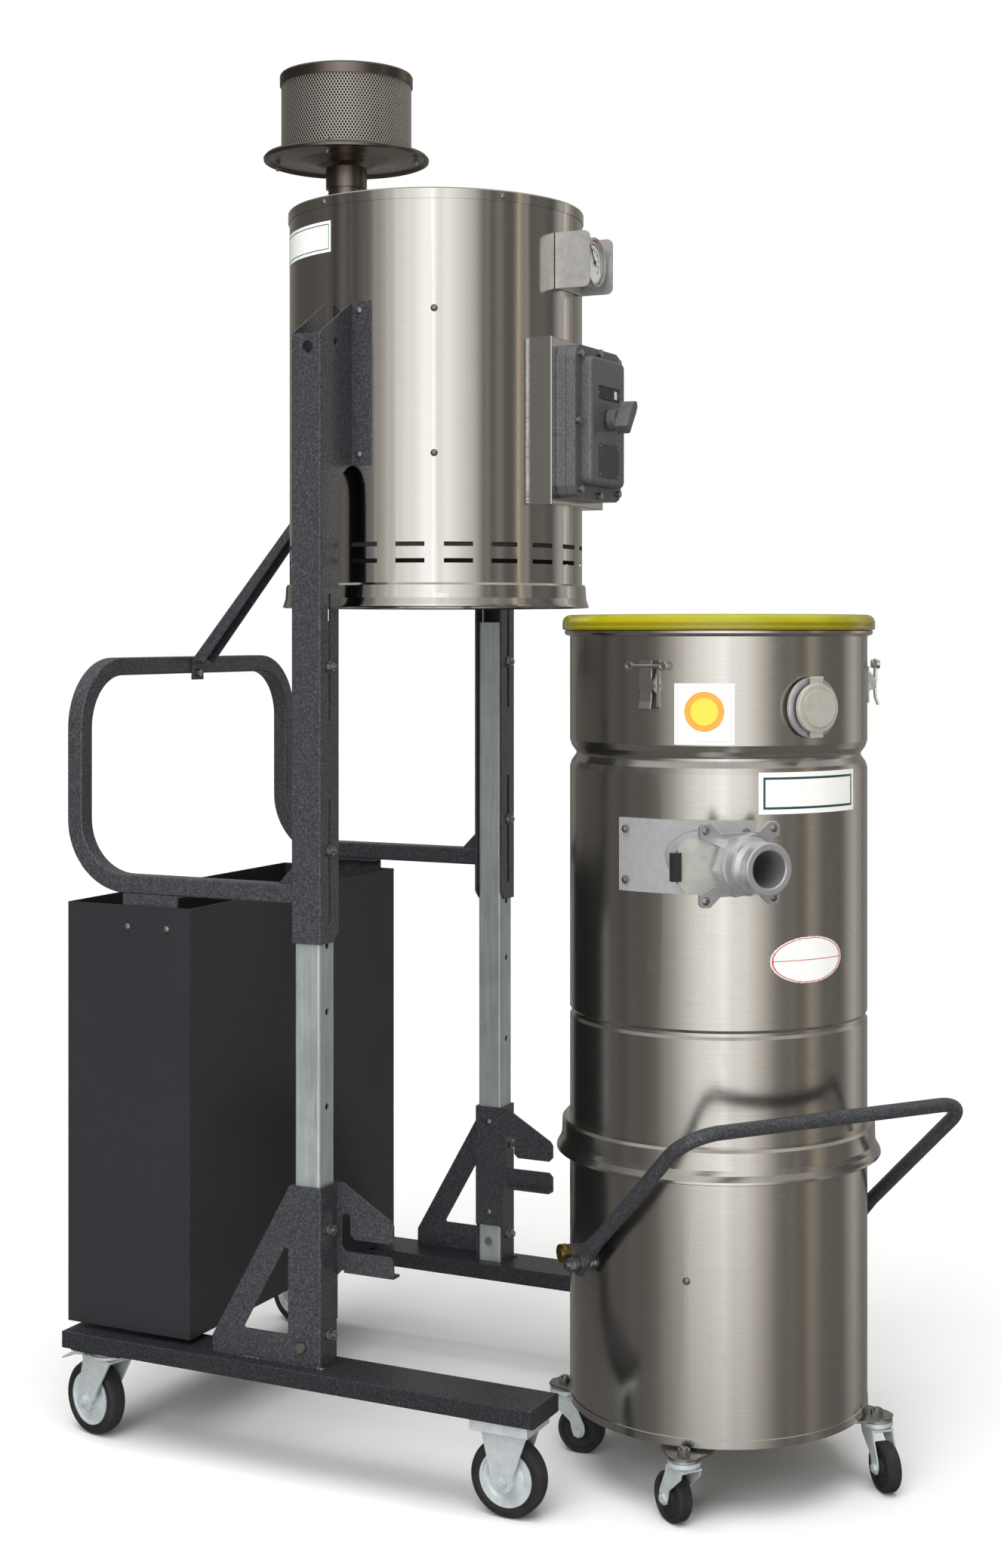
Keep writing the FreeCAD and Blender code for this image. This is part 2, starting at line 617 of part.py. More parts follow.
def tube_path(points, radius):
    """Straight runs joined by tangent arcs through the corner points."""
    edges = []
    prev = Vector(*points[0])
    for i in range(1, len(points) - 1):
        p = Vector(*points[i])
        a = (Vector(*points[i - 1]) - p).normalize()
        b = (Vector(*points[i + 1]) - p).normalize()
        half = a.getAngle(b) / 2
        d = radius[i - 1] / math.tan(half)
        s, e = p + a * d, p + b * d
        mid_dir = (a + b).normalize()
        centre = p + mid_dir * (radius[i - 1] / math.sin(half))
        m = centre - mid_dir * radius[i - 1]
        edges.append(Part.LineSegment(prev, s).toShape())
        edges.append(Part.Arc(s, m, e).toShape())
        prev = e
    edges.append(Part.LineSegment(prev, Vector(*points[-1])).toShape())
    return Part.Wire(edges)


def rounded_square(size, r, centre, ex, ey):
    h = size / 2
    pts = []
    for sx, sy in ((1, 1), (-1, 1), (-1, -1), (1, -1)):
        pts.append((sx, sy))
    edges = []
    corners = []
    for (sx, sy) in pts:
        c = centre + ex * (sx * (h - r)) + ey * (sy * (h - r))
        if sx * sy > 0:
            s, e = c + ex * (sx * r), c + ey * (sy * r)
        else:
            s, e = c + ey * (sy * r), c + ex * (sx * r)
        m = c + (ex * sx + ey * sy) * (r / math.sqrt(2))
        corners.append((s, m, e))
    for i in range(4):
        s, m, e = corners[i]
        edges.append(Part.Arc(s, m, e).toShape())
        edges.append(Part.LineSegment(e, corners[(i + 1) % 4][0]).toShape())
    return Part.Wire(edges)


def swept(wire, outer, inner):
    solid = wire.makePipeShell([outer], True, False)
    if inner is not None:
        core = wire.makePipeShell([inner], True, False)
        solid = solid.cut(core)
    return solid


def feature(shape):
    f = doc.addObject("Part::Feature", uid("Swept"))
    f.Shape = shape
    place(f, 0, 0, 0)
    return f


# bent square tube: arm, rear vertical, crossbar, rear vertical, arm
hx, hl, hh = handle_x.v, handle_low.v, handle_high.v
arm_y = column_y.v
start = fx0.v - 0.2
pts = [(start, -arm_y, hl), (hx, -arm_y, hl), (hx, -arm_y, hh), (hx, arm_y, hh), (hx, arm_y, hl), (start, arm_y, hl)]
wire = tube_path(pts, [handle_bend.v] * 4)
o = rounded_square(handle_size.v, 3.0, Vector(*pts[0]), Vector(0, 1, 0), Vector(0, 0, 1))
i = rounded_square(handle_size.v - 3.2, 1.6, Vector(*pts[0]), Vector(0, 1, 0), Vector(0, 0, 1))
handle_tube = feature(swept(wire, o, i))

# small gussets between the arms and the channels
gs = Bod()
gs.pad("XZ", [[(start, hl + 12.2), (start, hl + 45.0), (start - 32, hl + 12.2)]], -arm_y - 1.5, -arm_y + 1.5)
gst = gs.b
handle_parts = [handle_tube, gst, mirrored(gst)]

# brace from the crossbar up to the back of the head
bx0, bz0 = hx + 12.7, hh
bx1, bz1 = head_x.v - head_radius.v - 3.4, 1290.0
ang = math.atan2(bz1 - bz0, bx1 - bx0)
ux, uz = math.cos(ang), math.sin(ang)
st = Bod()
nx, nz = -uz, ux
st.pad("XZ", [[(bx0, bz0 - 22), (bx0 + 3, bz0 - 22), (bx0 + 3, bz0 + 1), (bx1, bz1 - 3), (bx1 + 3, bz1 + 2), (bx1 + 3, bz1 + 36),
               (bx1, bz1 + 36), (bx1, bz1 + 3), (bx0, bz0 + 6)]], -14.0, 14.0)
for y0, y1 in ((-14.0, -11.5), (11.5, 14.0)):
    st.pad("XZ", [[(bx0 + 8, bz0 + 9), (bx0 + 8 + nx * -14 + ux * 4, bz0 + 9 + nz * -14 + uz * 4),
                   (bx1 - 4, bz1 - 3 - 17), (bx1 - 1, bz1 - 2)]], y0, y1)
st.pocket("YZ", [("circle", 0.0, hh - 12.0, 3.3)], bx0 - 5, bx0 + 10)
node("handle_brace", st)

# open storage box at the back, hung from the arms
sb = Bod()
sb.pad("XY", [rect(box_rear, box_front, -box_half, box_half)], box_bottom, box_top)
sb.pocket("XY", [rect(box_rear + box_wall, box_front - box_wall, -box_half + box_wall, box_half - box_wall)],
          box_bottom + box_wall, box_top + 5)
hang = [("circle", x, 706.0, 3.3) for x in (-621.0, -557.5)]
sb.pocket("XZ", hang, -box_half - 5, -box_half + box_wall + 1)
sb.pocket("XZ", hang, box_half - box_wall - 1, box_half + 5)
node("storage_box", sb)
hgx0, hgx1 = Q(-630.0), Q(-541.0)
hb = Bod()
hb.pad("XZ", [rect(hgx0, hgx1, Q(688.0), Q(handle_low.v - 12.2))], -box_half + box_wall + 0.2, -box_half + box_wall + 3.2)
hb.pad("XY", [rect(hgx0, hgx1, -box_half + box_wall + 0.2, -box_half + box_wall + 26.0)], handle_low.v - 15.5, handle_low.v - 12.2)
hb.pocket("XZ", hang, -box_half, -box_half + 8)
node("push_handle", fuse(handle_parts + [hb.b, mirrored(hb.b)]))

# head: drum with two rows of vent slots, flared skirt, lid
dr = Bod(head_x, 0, 0)
R = head_radius
dr.turn([(R - head_wall, head_bottom - 6), (R, head_bottom - 6), (R, head_top - 3), (R - head_wall, head_top - 3)])
p1 = dr.pocket("YZ", [rect(-vent_width / 2, vent_width / 2, Q(1221.0), Q(1221.0) + vent_height),
                      rect(-vent_width / 2, vent_width / 2, Q(1199.0), Q(1199.0) + vent_height)], 190.0, 215.0)
dr.polar([p1], 20)
drum_holes = []
for z in (1534.0, 1343.0):
    for s in (-1, 1):
        drum_holes.append(cyl(-301.0, s * 190.0, z, (0, s, 0), 2.6, 30.0))
b_az = 297.0
for z in (1535.0, 1344.0):
    ca, sa = math.cos(math.radians(b_az)), math.sin(math.radians(b_az))
    drum_holes.append(cyl(head_x + 190 * ca, 190 * sa, z, (ca, sa, 0), 2.6, 30.0))
drum_holes.append(cyl(head_x - 190, 0.0, 1312.0, NX, 3.3, 30.0))
drum_holes.append(cyl(head_x + 190, 0.0, gauge_z, PX, 9.2, 30.0))
drum_shell = cut(dr.b, drum_holes)

sk = Bod(head_x, 0, 0)
zt = head_bottom
zb = skirt_bottom
sk.turn([(R - 0.6, zt - 1), (R + 3, zt), (R + 5, zt - 3), (R + 6, zt - 20), (R + 9, zb + 3), (R + 9.4, zb + 1), (R + 8, zb),
         (R + 6, zb + 2), (R + 4, zt - 20), (R + 3, zt - 6), (R - 0.6, zt - 6)])
sk.pocket("YZ", [rect(-8.5, 8.5, zb + 12, zb + 18)], 195.0, 225.0)
place(sk.b, head_x, 0, 0, yaw(b_az + 3.0))

lid = Bod(head_x, 0, 0)
lid.turn([(0, head_top - 2.6), (R + 0.3, head_top - 2.6), (R + 0.3, head_top - 15), (R + 1.9, head_top - 15),
          (R + 1.9, head_top - 2.4), (R + 0.6, head_top - 0.6), (R - 2, head_top), (0, head_top)])
lid_tools = [cyl(exhaust_x, 0, head_top - 10, PZ, pipe_radius + 0.2, 20.0)]
lid_az = (35.0, 107.0, 179.0, 251.0, 323.0)
for a in lid_az:
    ca, sa = math.cos(math.radians(a)), math.sin(math.radians(a))
    lid_tools.append(cyl(head_x + 200 * ca, 200 * sa, head_top - 9, (ca, sa, 0), 2.6, 12.0))
node("head_lid", cut(lid.b, lid_tools))

# exhaust stack, dish, perforated silencer
ex = Bod(exhaust_x, 0, 0)
ex.turn([(pipe_radius - 2, head_top - 6), (pipe_radius, head_top - 6), (pipe_radius, 1745.0), (pipe_radius + 3.5, 1745.0), (pipe_radius + 3.5, 1774.0),
         (pipe_radius - 2, 1774.0)])
D = dish_radius
di = Bod(exhaust_x, 0, 0)
di.turn([(26.0, 1773.6), (34.0, 1773.6), (44.0, 1778.5), (70.0, 1784.0), (D - 3, 1787.5), (D + 1, 1783.5), (D + 3.5, 1784.5), (D + 4, 1788.0),
         (D + 1, 1791.5), (D - 6, 1791.5), (68.0, 1787.0), (43.0, 1781.0), (34.0, 1777.2), (26.0, 1777.2)])
studs = [(exhaust_x + 103.0 * math.cos(math.radians(a)), 103.0 * math.sin(math.radians(a))) for a in (15.0, 105.0, 195.0, 285.0)]
node("exhaust_dish", fuse([ex.b, cut(di.b, [cyl(x, Q(y), 1770.0, PZ, 2.3, 30.0) for x, y in studs])]))
sc = Bod(exhaust_x, 0, 0)
sc.turn([(screen_radius - 1.5, 1792.0), (screen_radius, 1792.0), (screen_radius, 1897.0), (screen_radius - 1.5, 1897.0)])
node("exhaust_screen", sc)
ca_ = Bod(exhaust_x, 0, 0)
ca_.turn([(0, 1900.0), (screen_radius + 0.2, 1900.0), (screen_radius + 0.4, 1892.0), (screen_radius + 2.0, 1892.0), (screen_radius + 2.2, 1905.0),
          (screen_radius + 0.8, 1907.4), (screen_radius - 2, 1908.0), (screen_radius - 8, 1905.0), (0, 1905.0)])
node("exhaust_cap", ca_)

# vacuum gauge in its guard on the front of the head
gg = Bod(head_x, 0, 0)
gd = Bod(0, 0, 0)
gd.pad("XY", [[(Q(-92.0), Q(-40.0)), (Q(-41.0), Q(-40.0)), (Q(-41.0), Q(-38.0)), (Q(-86.7), Q(-38.0)), (Q(-86.7), Q(38.0)), (Q(-41.0), Q(38.0)),
               (Q(-41.0), Q(40.0)), (Q(-92.0), Q(40.0)), (Q(-92.0), Q(38.0)), (Q(-88.6), Q(30.0)), (Q(-88.6), Q(-30.0)), (Q(-92.0), Q(-38.0))]],
       gauge_z - 38, gauge_z + 38)
gd.fillet([(-41.0, -39.0, 1573.0), (-41.0, -39.0, 1649.0), (-41.0, 39.0, 1573.0), (-41.0, 39.0, 1649.0)], 9.0)
gg_drum = cyl(head_x, 0, gauge_z - 60, PZ, head_radius + 0.3, 120.0)
doc.removeObject(gg.b.Name)
node("gauge_guard", cut(gd.b, [gg_drum, cyl(-95.0, 0, gauge_z, PX, 9.2, 20.0)]))
gcase = Bod(0, 0, gauge_z, along(PX))
gcase.turn([(0, -95.0), (9.0, -95.0), (9.0, -86.0), (30.0, -86.0), (30.5, -60.0), (33.0, -59.0), (34.0, -57.0), (34.0, -49.5), (33.0, -48.0),
            (30.5, -48.0), (30.5, -53.0), (2.0, -53.0), (2.0, -51.0), (0, -51.0)])
node("gauge_case", gcase)
ndl = fuse([cyl(-50.9, 0, gauge_z, PX, 3.0, 1.2), rbox(Q(-50.3), Q(0), gauge_z, Rotation(Vector(1, 0, 0), 38.0), 0.8, 1.8, 34.0, 0.5, 0.5, 0.2)])
node("gauge_needle", ndl)

# switch: stainless mounting box welded to the drum, cast enclosure in two halves, rotary knob
drum_tool = cyl(head_x, 0, 1200.0, PZ, head_radius - 0.8, 400.0)
mb = Bod()
mb.pad("YZ", [rect(-89.75, 82.25, 1278.0, 1502.0)], -118.0, -74.0)
mb.pocket("YZ", [rect(-87.75, 80.25, 1280.0, 1500.0)], -120.0, -76.0)
mb.fillet([(-74.0, -89.75, 1400), (-74.0, 82.25, 1400), (-74.0, 0, 1278.0), (-74.0, 0, 1502.0)], 1.8)
mbc = cut(mb.b, [drum_tool])
node("head_drum", fuse([drum_shell, sk.b, mbc]))


def rounded_plate(b, y0, y1, z0, z1, c, lo, hi):
    b.pad("YZ", [[(y0 + c, z0), (y1 - c, z0), (y1 - c * 0.3, z0 + c * 0.3), (y1, z0 + c), (y1, z1 - c), (y1 - c * 0.3, z1 - c * 0.3),
                  (y1 - c, z1), (y0 + c, z1), (y0 + c * 0.3, z1 - c * 0.3), (y0, z1 - c), (y0, z0 + c), (y0 + c * 0.3, z0 + c * 0.3)]], lo, hi)


lug = [(-64.0, 1299.0), (63.5, 1299.0), (-64.0, 1480.0), (63.5, 1480.0), (-0.25, 1292.0), (-0.25, 1487.0), (-72.0, 1390.0), (71.5, 1390.0)]
se = Bod()
rounded_plate(se, -77.75, 77.25, 1287.0, 1492.0, 16.0, -73.8, -59.2)
se.pocket("YZ", [rect(-62.0, 61.5, 1303.0, 1476.0)], -71.0, -58.0)
se.fillet([(-73.8, 0, 1287.0), (-73.8, 0, 1492.0)], 1.5)
node("switch_housing", cut(se.b, [cyl(-70.0, y, z, PX, 2.7, 20.0) for y, z in lug]))
sv = Bod()
rounded_plate(sv, -77.75, 77.25, 1287.0, 1492.0, 16.0, -58.8, -45.0)
sv.pad("YZ", [rect(-58.75, 55.25, 1305.0, 1478.0)], -45.0, -29.0)
sv.fillet([(-37.0, -58.75, 1305.0), (-37.0, 55.25, 1305.0), (-37.0, -58.75, 1478.0), (-37.0, 55.25, 1478.0)], 10.0)
sv.fillet([(-29.0, -58.75, 1400.0)], 6.0)
sv_tools = [cyl(-60.0, y, z, PX, 2.7, 20.0) for y, z in lug]
sv_tools += [cyl(-62.0, -3.0, knob_z, PX, 6.06, 40.0), box(-30.0, -20.0, -37.0, 36.0, 1421.0, 1440.0)]
node("switch_cover", cut(sv.b, sv_tools))
kb = Bod(0, -3.0, knob_z, Rotation(Vector(1, 0, 0), -35.0))
kb.pad("YZ", [("circle", 0.0, 0.0, 6.0)], -52.0, -10.0)
kb.pad("YZ", [("circle", 0.0, 0.0, 15.0)], -27.0, -14.0)
kb.pad("YZ", [[(-8.0, -18.0), (8.0, -18.0), (9.0, 6.0), (6.0, 27.0), (0.0, 31.0), (-6.0, 27.0), (-9.0, 6.0)]], -14.0, 5.0)
kb.fillet([(5.0, -8.5, -6.0), (5.0, 8.5, -6.0), (5.0, 0.0, -18.0)], 3.0)
node("switch_knob", kb)

# screws of the head and lift frame
ls = []
for s in (-1, 1):
    for z in (1534.0, 1343.0):
        ls.append(dome_screw(Q(-301.0), Q(s * 209.5), Q(z), (0, s, 0), 2.5, 7.0, head=5.2, height=3.0))
    for x in (-621.0, -557.5):
        ls.append(dome_screw(Q(x), Q(s) * (box_half + 0.05), Q(706.0), (0, s, 0), 3.0, 9.0, head=5.2, height=3.0))
for z in (1535.0, 1344.0):
    ca, sa = math.cos(math.radians(b_az)), math.sin(math.radians(b_az))
    ls.append(dome_screw(head_x + 206.1 * ca, Q(206.1 * sa), Q(z), (ca, sa, 0), 2.5, 6.0, head=4.8, height=2.8))
for a in lid_az:
    ca, sa = math.cos(math.radians(a)), math.sin(math.radians(a))
    ls.append(dome_screw(head_x + 208.0 * ca, Q(208.0 * sa), head_top - 9, (ca, sa, 0), 2.4, 1.5, head=4.2, height=2.4))
for x, y in studs:
    ls.append(fuse([cyl(x, Q(y), 1776.0, PZ, 2.2, 22.0), hexagon(x, Q(y), Q(1791.6), PZ, 8.0, 3.4), hexagon(x, Q(y), Q(1779.5), PZ, 8.0, 3.4)]))
for y, z in lug:
    ls.append(fuse([cyl(-68.0, y, z, PX, 2.5, 24.0), cyl(-44.9, y, z, PX, 5.0, 5.0)]))
ls.append(hex_bolt(Q(bx0 + 3.1), Q(0), Q(hh - 12.0), PX, 3.0, 3.0, af=10.0, head=4.0, washer=False))
node("lift_screws", group(ls))

# inside the head: deck, motor, fan wheel, cartridge filter
dk = Bod(head_x, 0, 0)
dk.turn([(14.0, 1400.0), (R - 2.4, 1400.0), (R - 2.4, 1404.0), (14.0, 1404.0)])
node("motor_deck", dk)
mo = Bod(head_x, 0, 0)
mo.turn([(7.1, 1404.2), (96.0, 1404.2), (96.0, 1560.0), (90.0, 1572.0), (60.0, 1580.0), (0, 1580.0), (0, 1570.0), (7.1, 1570.0)])
node("motor", mo)
im = Bod(head_x, 0, 0)
im.turn([(0, 1352.0), (110.0, 1352.0), (110.0, 1355.0), (22.0, 1360.0), (22.0, 1392.0), (7.0, 1392.0), (7.0, 1500.0), (0, 1500.0)])
v1 = im.pad("XY", [rect(30.0, 108.0, -1.5, 1.5)], 1354.0, 1388.0)
im.polar([v1], 10)
node("fan_wheel", im)
hf = Bod(head_x, 0, 0)
hf.turn([(70.0, 1182.0), (170.0, 1182.0), (170.0, 1330.0), (70.0, 1330.0)])
node("exhaust_filter", hf)

# ======================================================================================
# Tank: a canister on a wheeled bin
# ======================================================================================
T = tank_radius
W = tank_wall
bn = Bod(tank_x, 0, 0)
bn.turn([(0, bin_bottom + 2), (T - 3, bin_bottom + 2), (T - 3, bin_bottom), (T + 0.8, bin_bottom), (T + 0.8, bin_bottom + 10), (T, bin_bottom + 11),
         (T, bin_top), (T - W, bin_top), (T - W, bin_bottom + 5), (0, bin_bottom + 5)])
bscrew_az = 279.0
bca, bsa = math.cos(math.radians(bscrew_az)), math.sin(math.radians(bscrew_az))
pv = 53.54
pa = (math.cos(math.radians(pv)), math.sin(math.radians(pv)))
bin_tools = [cyl(tank_x + 185 * bca, 185 * bsa, 301.0, (bca, bsa, 0), 2.7, 20.0)]
for s in (-1, 1):
    bin_tools.append(cyl(tank_x + s * 180 * pa[0], s * 180 * pa[1], bail_pivot_z, (s * pa[0], s * pa[1], 0), 5.2, 30.0))
node("bin_shell", cut(bn.b, bin_tools))
bg = Bod(tank_x, 0, 0)
bg.turn([(T - 6, bin_top + 0.1), (T + 3, bin_top + 0.1), (T + 3, bin_top + 8.5), (T - 6, bin_top + 8.5)])
node("bin_gasket", bg)

# canister with a deep pressed groove near the top and a shallow one lower down
z0 = bin_top + 9.3
outer = [(T, z0), (T, Q(601.0)), (T - 2.5, Q(605.0)), (T - 2.5, Q(609.0)), (T, Q(613.0)), (T, Q(930.0)), (T - 2.5, Q(938.0)), (T - 8.5, Q(946.5)), (T - 8.5, Q(949.5)),
         (T - 2.5, Q(958.0)), (T, Q(966.0)), (T, tank_top - 8), (T + 6, tank_top - 6), (T + 7, tank_top - 4), (T + 7, tank_top - 1), (T + 5, tank_top)]
inner = [(T - W, tank_top), (T - W, Q(967.0)), (T - W - 2.5, Q(959.0)), (T - W - 8.5, Q(950.5)), (T - W - 8.5, Q(945.5)), (T - W - 2.5, Q(937.0)), (T - W, Q(929.0)),
         (T - W, Q(614.0)), (T - W - 2.5, Q(610.0)), (T - W - 2.5, Q(604.0)), (T - W, Q(600.0)), (T - W, z0)]
cn = Bod(tank_x, 0, 0)
cn.turn(outer + inner)
# inlet frame: axis of the tangential inlet runs to azimuth 322, 120 mm off the tank axis
iaz = math.radians(322.0)
idir = (math.cos(iaz), math.sin(iaz))
ilat = (-math.sin(iaz), math.cos(iaz))
foot = (-inlet_offset.v * ilat[0], -inlet_offset.v * ilat[1])
irot = Rotation(Vector(0, 0, 1), 322.0)


def ipos(t, s=0.0):
    return (tank_x + (foot[0] + idir[0] * t + ilat[0] * s), Q(foot[1] + idir[1] * t + ilat[1] * s))


def icyl(t, length, r, s=0.0, dz=0.0):
    x, y = ipos(t, s)
    return cyl(x, y, inlet_z + dz, (idir[0], idir[1], 0), r, length)


port_az = math.radians(326.0)
pd_ = (math.cos(port_az), math.sin(port_az))
port_z = 1013.0
can_tools = [icyl(60.0, 140.0, 34.3)]
can_tools.append(cyl(tank_x + 170 * pd_[0], Q(170 * pd_[1]), port_z, (pd_[0], pd_[1], 0), 25.0, 60.0))
can_shell = cut(cn.b, can_tools)
cs = Bod(tank_x, 0, 0)
cs.turn([(T - 0.6, 467.0), (T + 7, 467.0), (T + 10, 463.5), (T + 10.5, 442.0), (T + 13, 436.0), (T + 17, 429.0), (T + 17.4, 426.0), (T + 16, 425.0), (T + 15, 428.0),
         (T + 11.5, 435.0), (T + 8.7, 441.0), (T + 8.2, 462.0), (T + 6, 465.0), (T - 0.6, 465.0)])
tg = Bod(tank_x, 0, 0)
tg.turn([(T - 5, tank_top + 0.1), (T + 8.5, tank_top + 0.1), (T + 10, tank_top + 2), (T + 10, gasket_top - 9), (T + 8, gasket_top - 4), (T + 4, gasket_top - 1), (T, gasket_top),
         (T - 5, gasket_top)])
node("tank_gasket", tg)

# cartridge filter inside the canister, hung from the top rim
mf = Bod(tank_x, 0, 0)
mf.turn([(60.0, 1000.0 - 250.0), (140.0, 750.0), (140.0, 1096.0), (T - W - 0.6, 1096.0), (T - W - 0.6, 1100.0), (100.0, 1100.0), (100.0, 754.0), (60.0, 754.0)])
node("main_filter", mf)

# saddle plate of the inlet
sad = cyl(tank_x, 0, inlet_z - 46, PZ, T + 3.6, 92.0, angle=52.0, rot=yaw(252.0))
sad_screws = []
for a in (255.5, 300.5):
    for dz in (-32.0, 32.0):
        sad_screws.append((a, dz))
stools = [cyl(tank_x, 0, inlet_z - 60, PZ, T + 0.3, 120.0), icyl(60.0, 160.0, 34.3)]
for a, dz in sad_screws:
    c, s = math.cos(math.radians(a)), math.sin(math.radians(a))
    stools.append(cyl(tank_x + 190 * c, Q(190 * s), inlet_z + dz, (c, s, 0), 3.2, 20.0))
node("inlet_saddle", cut(sad, stools))

ear = [(-56.0, 34.0), (-56.0, 46.0), (-52.0, 50.0), (-42.0, 50.0), (-28.0, 38.0), (28.0, 38.0), (42.0, 50.0), (52.0, 50.0), (56.0, 46.0), (56.0, 34.0), (36.0, 22.0),
       (36.0, -22.0), (56.0, -34.0), (56.0, -46.0), (52.0, -50.0), (42.0, -50.0), (28.0, -38.0), (-28.0, -38.0), (-42.0, -50.0), (-52.0, -50.0), (-56.0, -46.0),
       (-56.0, -34.0), (-28.0, -22.0), (-28.0, 22.0)]
ears = [(-48.0, 42.0), (48.0, 42.0), (-48.0, -42.0), (48.0, -42.0)]


def ear_plate(lo, hi, bore):
    x, y = tank_x + foot[0], Q(foot[1])
    b = Bod(x, y, inlet_z, irot)
    loops = [ear, ("circle", 0.0, 0.0, bore)] + [("circle", p, q, 2.7) for p, q in ears]
    b.pad("YZ", [loops[0]] + loops[1:], lo, hi)
    return b


bp = ear_plate(Q(234.0), Q(238.0), Q(30.0))
pipe = cut(icyl(96.0, 138.2, 34.0), [icyl(60.0, 300.0, 30.0), cyl(tank_x, 0, inlet_z - 60, PZ, T - 6.0, 120.0)])
spacers = [icyl(238.0, 3.4, 5.0, p, q) for p, q in ears]
sp_cut = [icyl(200.0, 60.0, 2.7, p, q) for p, q in ears]
node("inlet_pipe", cut(fuse([bp.b, pipe] + spacers), sp_cut))
fp = ear_plate(Q(241.5), Q(246.5), inlet_bore)
nx_, ny_ = ipos(246.4)
hexn = hexagon(nx_, ny_, inlet_z, (idir[0], idir[1], 0), 70.0, 14.0)
nose = Bod(tank_x + foot[0], Q(foot[1]), inlet_z, irot.multiply(Rotation(Vector(0, 1, 0), 90)))
b_ = inlet_bore
n_ = inlet_nose
nose.turn([(b_, 258.0), (34.0, 258.0), (35.5, 262.0), (35.5, 270.0), (33.0, 274.0), (n_, 277.0), (n_, 283.0), (n_ - 5.5, 287.5), (n_ - 5.5, 291.5),
           (n_, 297.0), (n_, 309.5), (n_ - 1.5, 311.0), (b_ + 1.5, 311.0), (b_, 309.5)])
node("inlet_coupling", cut(fuse([fp.b, hexn, nose.b]), [icyl(230.0, 100.0, inlet_bore)]))
gb = Bod(tank_x + foot[0], Q(foot[1]), inlet_z, irot)
gb.pad("YZ", [[(-24.5, -26.0), (-24.5, 26.0), (-34.0, 33.0), (-72.0, 33.0), (-84.0, 20.0), (-84.0, -20.0), (-72.0, -33.0), (-34.0, -33.0)]], 238.6, 240.9)
gb2 = Bod(tank_x + foot[0], Q(foot[1]), inlet_z, irot)
gb2.pad("YZ", [rect(-92.0, -80.0, -17.0, 17.0)], 235.5, 243.5)
gb2.pocket("YZ", [rect(-84.1, -75.0, -20.0, 20.0)], 238.5, 241.0)
node("gate_blade", group([gb.b, gb2.b]))

# capped port
pb = Bod(tank_x, 0, port_z, Rotation(Vector(0, 0, 1), 326.0).multiply(Rotation(Vector(0, 1, 0), 90)))
pb.turn([(22.0, 190.0), (26.0, 190.0), (26.0, 199.5), (38.0, 199.5), (38.0, 203.5), (29.0, 203.5), (29.0, 208.0), (22.0, 208.0)])
node("canister_shell", fuse([can_shell, cs.b, pb.b]))
pc = Bod(tank_x, 0, port_z, Rotation(Vector(0, 0, 1), 326.0))
pc.pad("YZ", [("circle", 0.0, 0.0, 31.0)], 208.4, 215.0)
pc.pad("YZ", [("circle", 0.0, 0.0, 21.4)], 203.0, 208.6)
pc.pad("YZ", [rect(-9.0, 9.0, 20.0, 37.0), rect(-9.0, 9.0, -37.0, -20.0)], 208.4, 212.0)
pc.pad("YZ", [("circle", 0.0, 0.0, 24.0)], 215.0, 217.5)
pc.fillet([(215.0, 31.0, 0.0)], 1.8)
pd_x, pd_y = math.cos(math.radians(326.0)), math.sin(math.radians(326.0))
port_pin = cyl(tank_x + 210.2 * pd_x + 9.5 * pd_y, Q(210.2 * pd_y - 9.5 * pd_x), port_z + 37.0, (-pd_y, pd_x, 0), 2.1, 19.0)
node("port_cap", fuse([pc.b, port_pin]))

# draw latches: base plate on the canister, lever and claw on a pin
lat_bases = []
lat_az = (265.0, 25.0, 145.0)
for k, a in enumerate(lat_az):
    rot = Rotation(Vector(0, 0, 1), a)
    lb = Bod(tank_x, 0, 0, rot)
    lb.pad("XY", [rect(T + 0.9, T + 3.0, -11.0, 11.0)], 1014.0, 1062.0)
    lb.pad("XZ", [[(T + 3.0, Q(1030.0)), (T + 12.0, Q(1034.0)), (T + 12.0, Q(1046.0)), (T + 3.0, Q(1056.0))]], -11.0, -9.0)
    lb.pad("XZ", [[(T + 3.0, Q(1030.0)), (T + 12.0, Q(1034.0)), (T + 12.0, Q(1046.0)), (T + 3.0, Q(1056.0))]], 9.0, 11.0)
    lb.pad("XZ", [("circle", T + 8.5, Q(1040.0), 2.0)], -12.0, 12.0)
    lb.pad("XY", [rect(T - 0.6, T + 1.2, -9.0, 9.0)], 1018.0, 1030.0)
    lat_bases.append(cut(lb.b, [cyl(tank_x, 0, 1000.0, PZ, T + 0.25, 80.0)]))
    lv = Bod(tank_x, 0, 0, rot)
    lv.pad("XZ", [[(T + 4.6, Q(1036.0)), (T + 12.5, Q(1036.0)), (T + 14.0, Q(1046.0)), (T + 14.0, Q(1072.0)), (T + 11.5, Q(1072.0)), (T + 11.0, Q(1048.0)), (T + 4.6, Q(1044.5))]],
           -8.6, 8.6)
    lv.pad("XZ", [[(T + 10.0, Q(1037.0)), (T + 12.5, Q(1037.0)), (T + 14.0, Q(1021.0)), (T + 17.2, Q(1012.0)), (T + 15.4, Q(1011.0)), (T + 11.8, Q(1020.0))]],
           -8.0, 8.0)
    lv.pad("XZ", [("circle", T + 12.5, Q(1065.0), 2.6)], -19.5, 19.5)
    for e in (-23.5, 23.5):
        lv.pad("YZ", [("circle", e, 1065.0, 5.6), ("circle", e, 1065.0, 3.1)], T + 10.5, T + 14.5)
    lv.pocket("XZ", [("circle", T + 8.5, Q(1040.0), 2.07)], -15.0, 15.0)
    node("latch_lever_%s" % ("near", "front", "far")[k], lv)

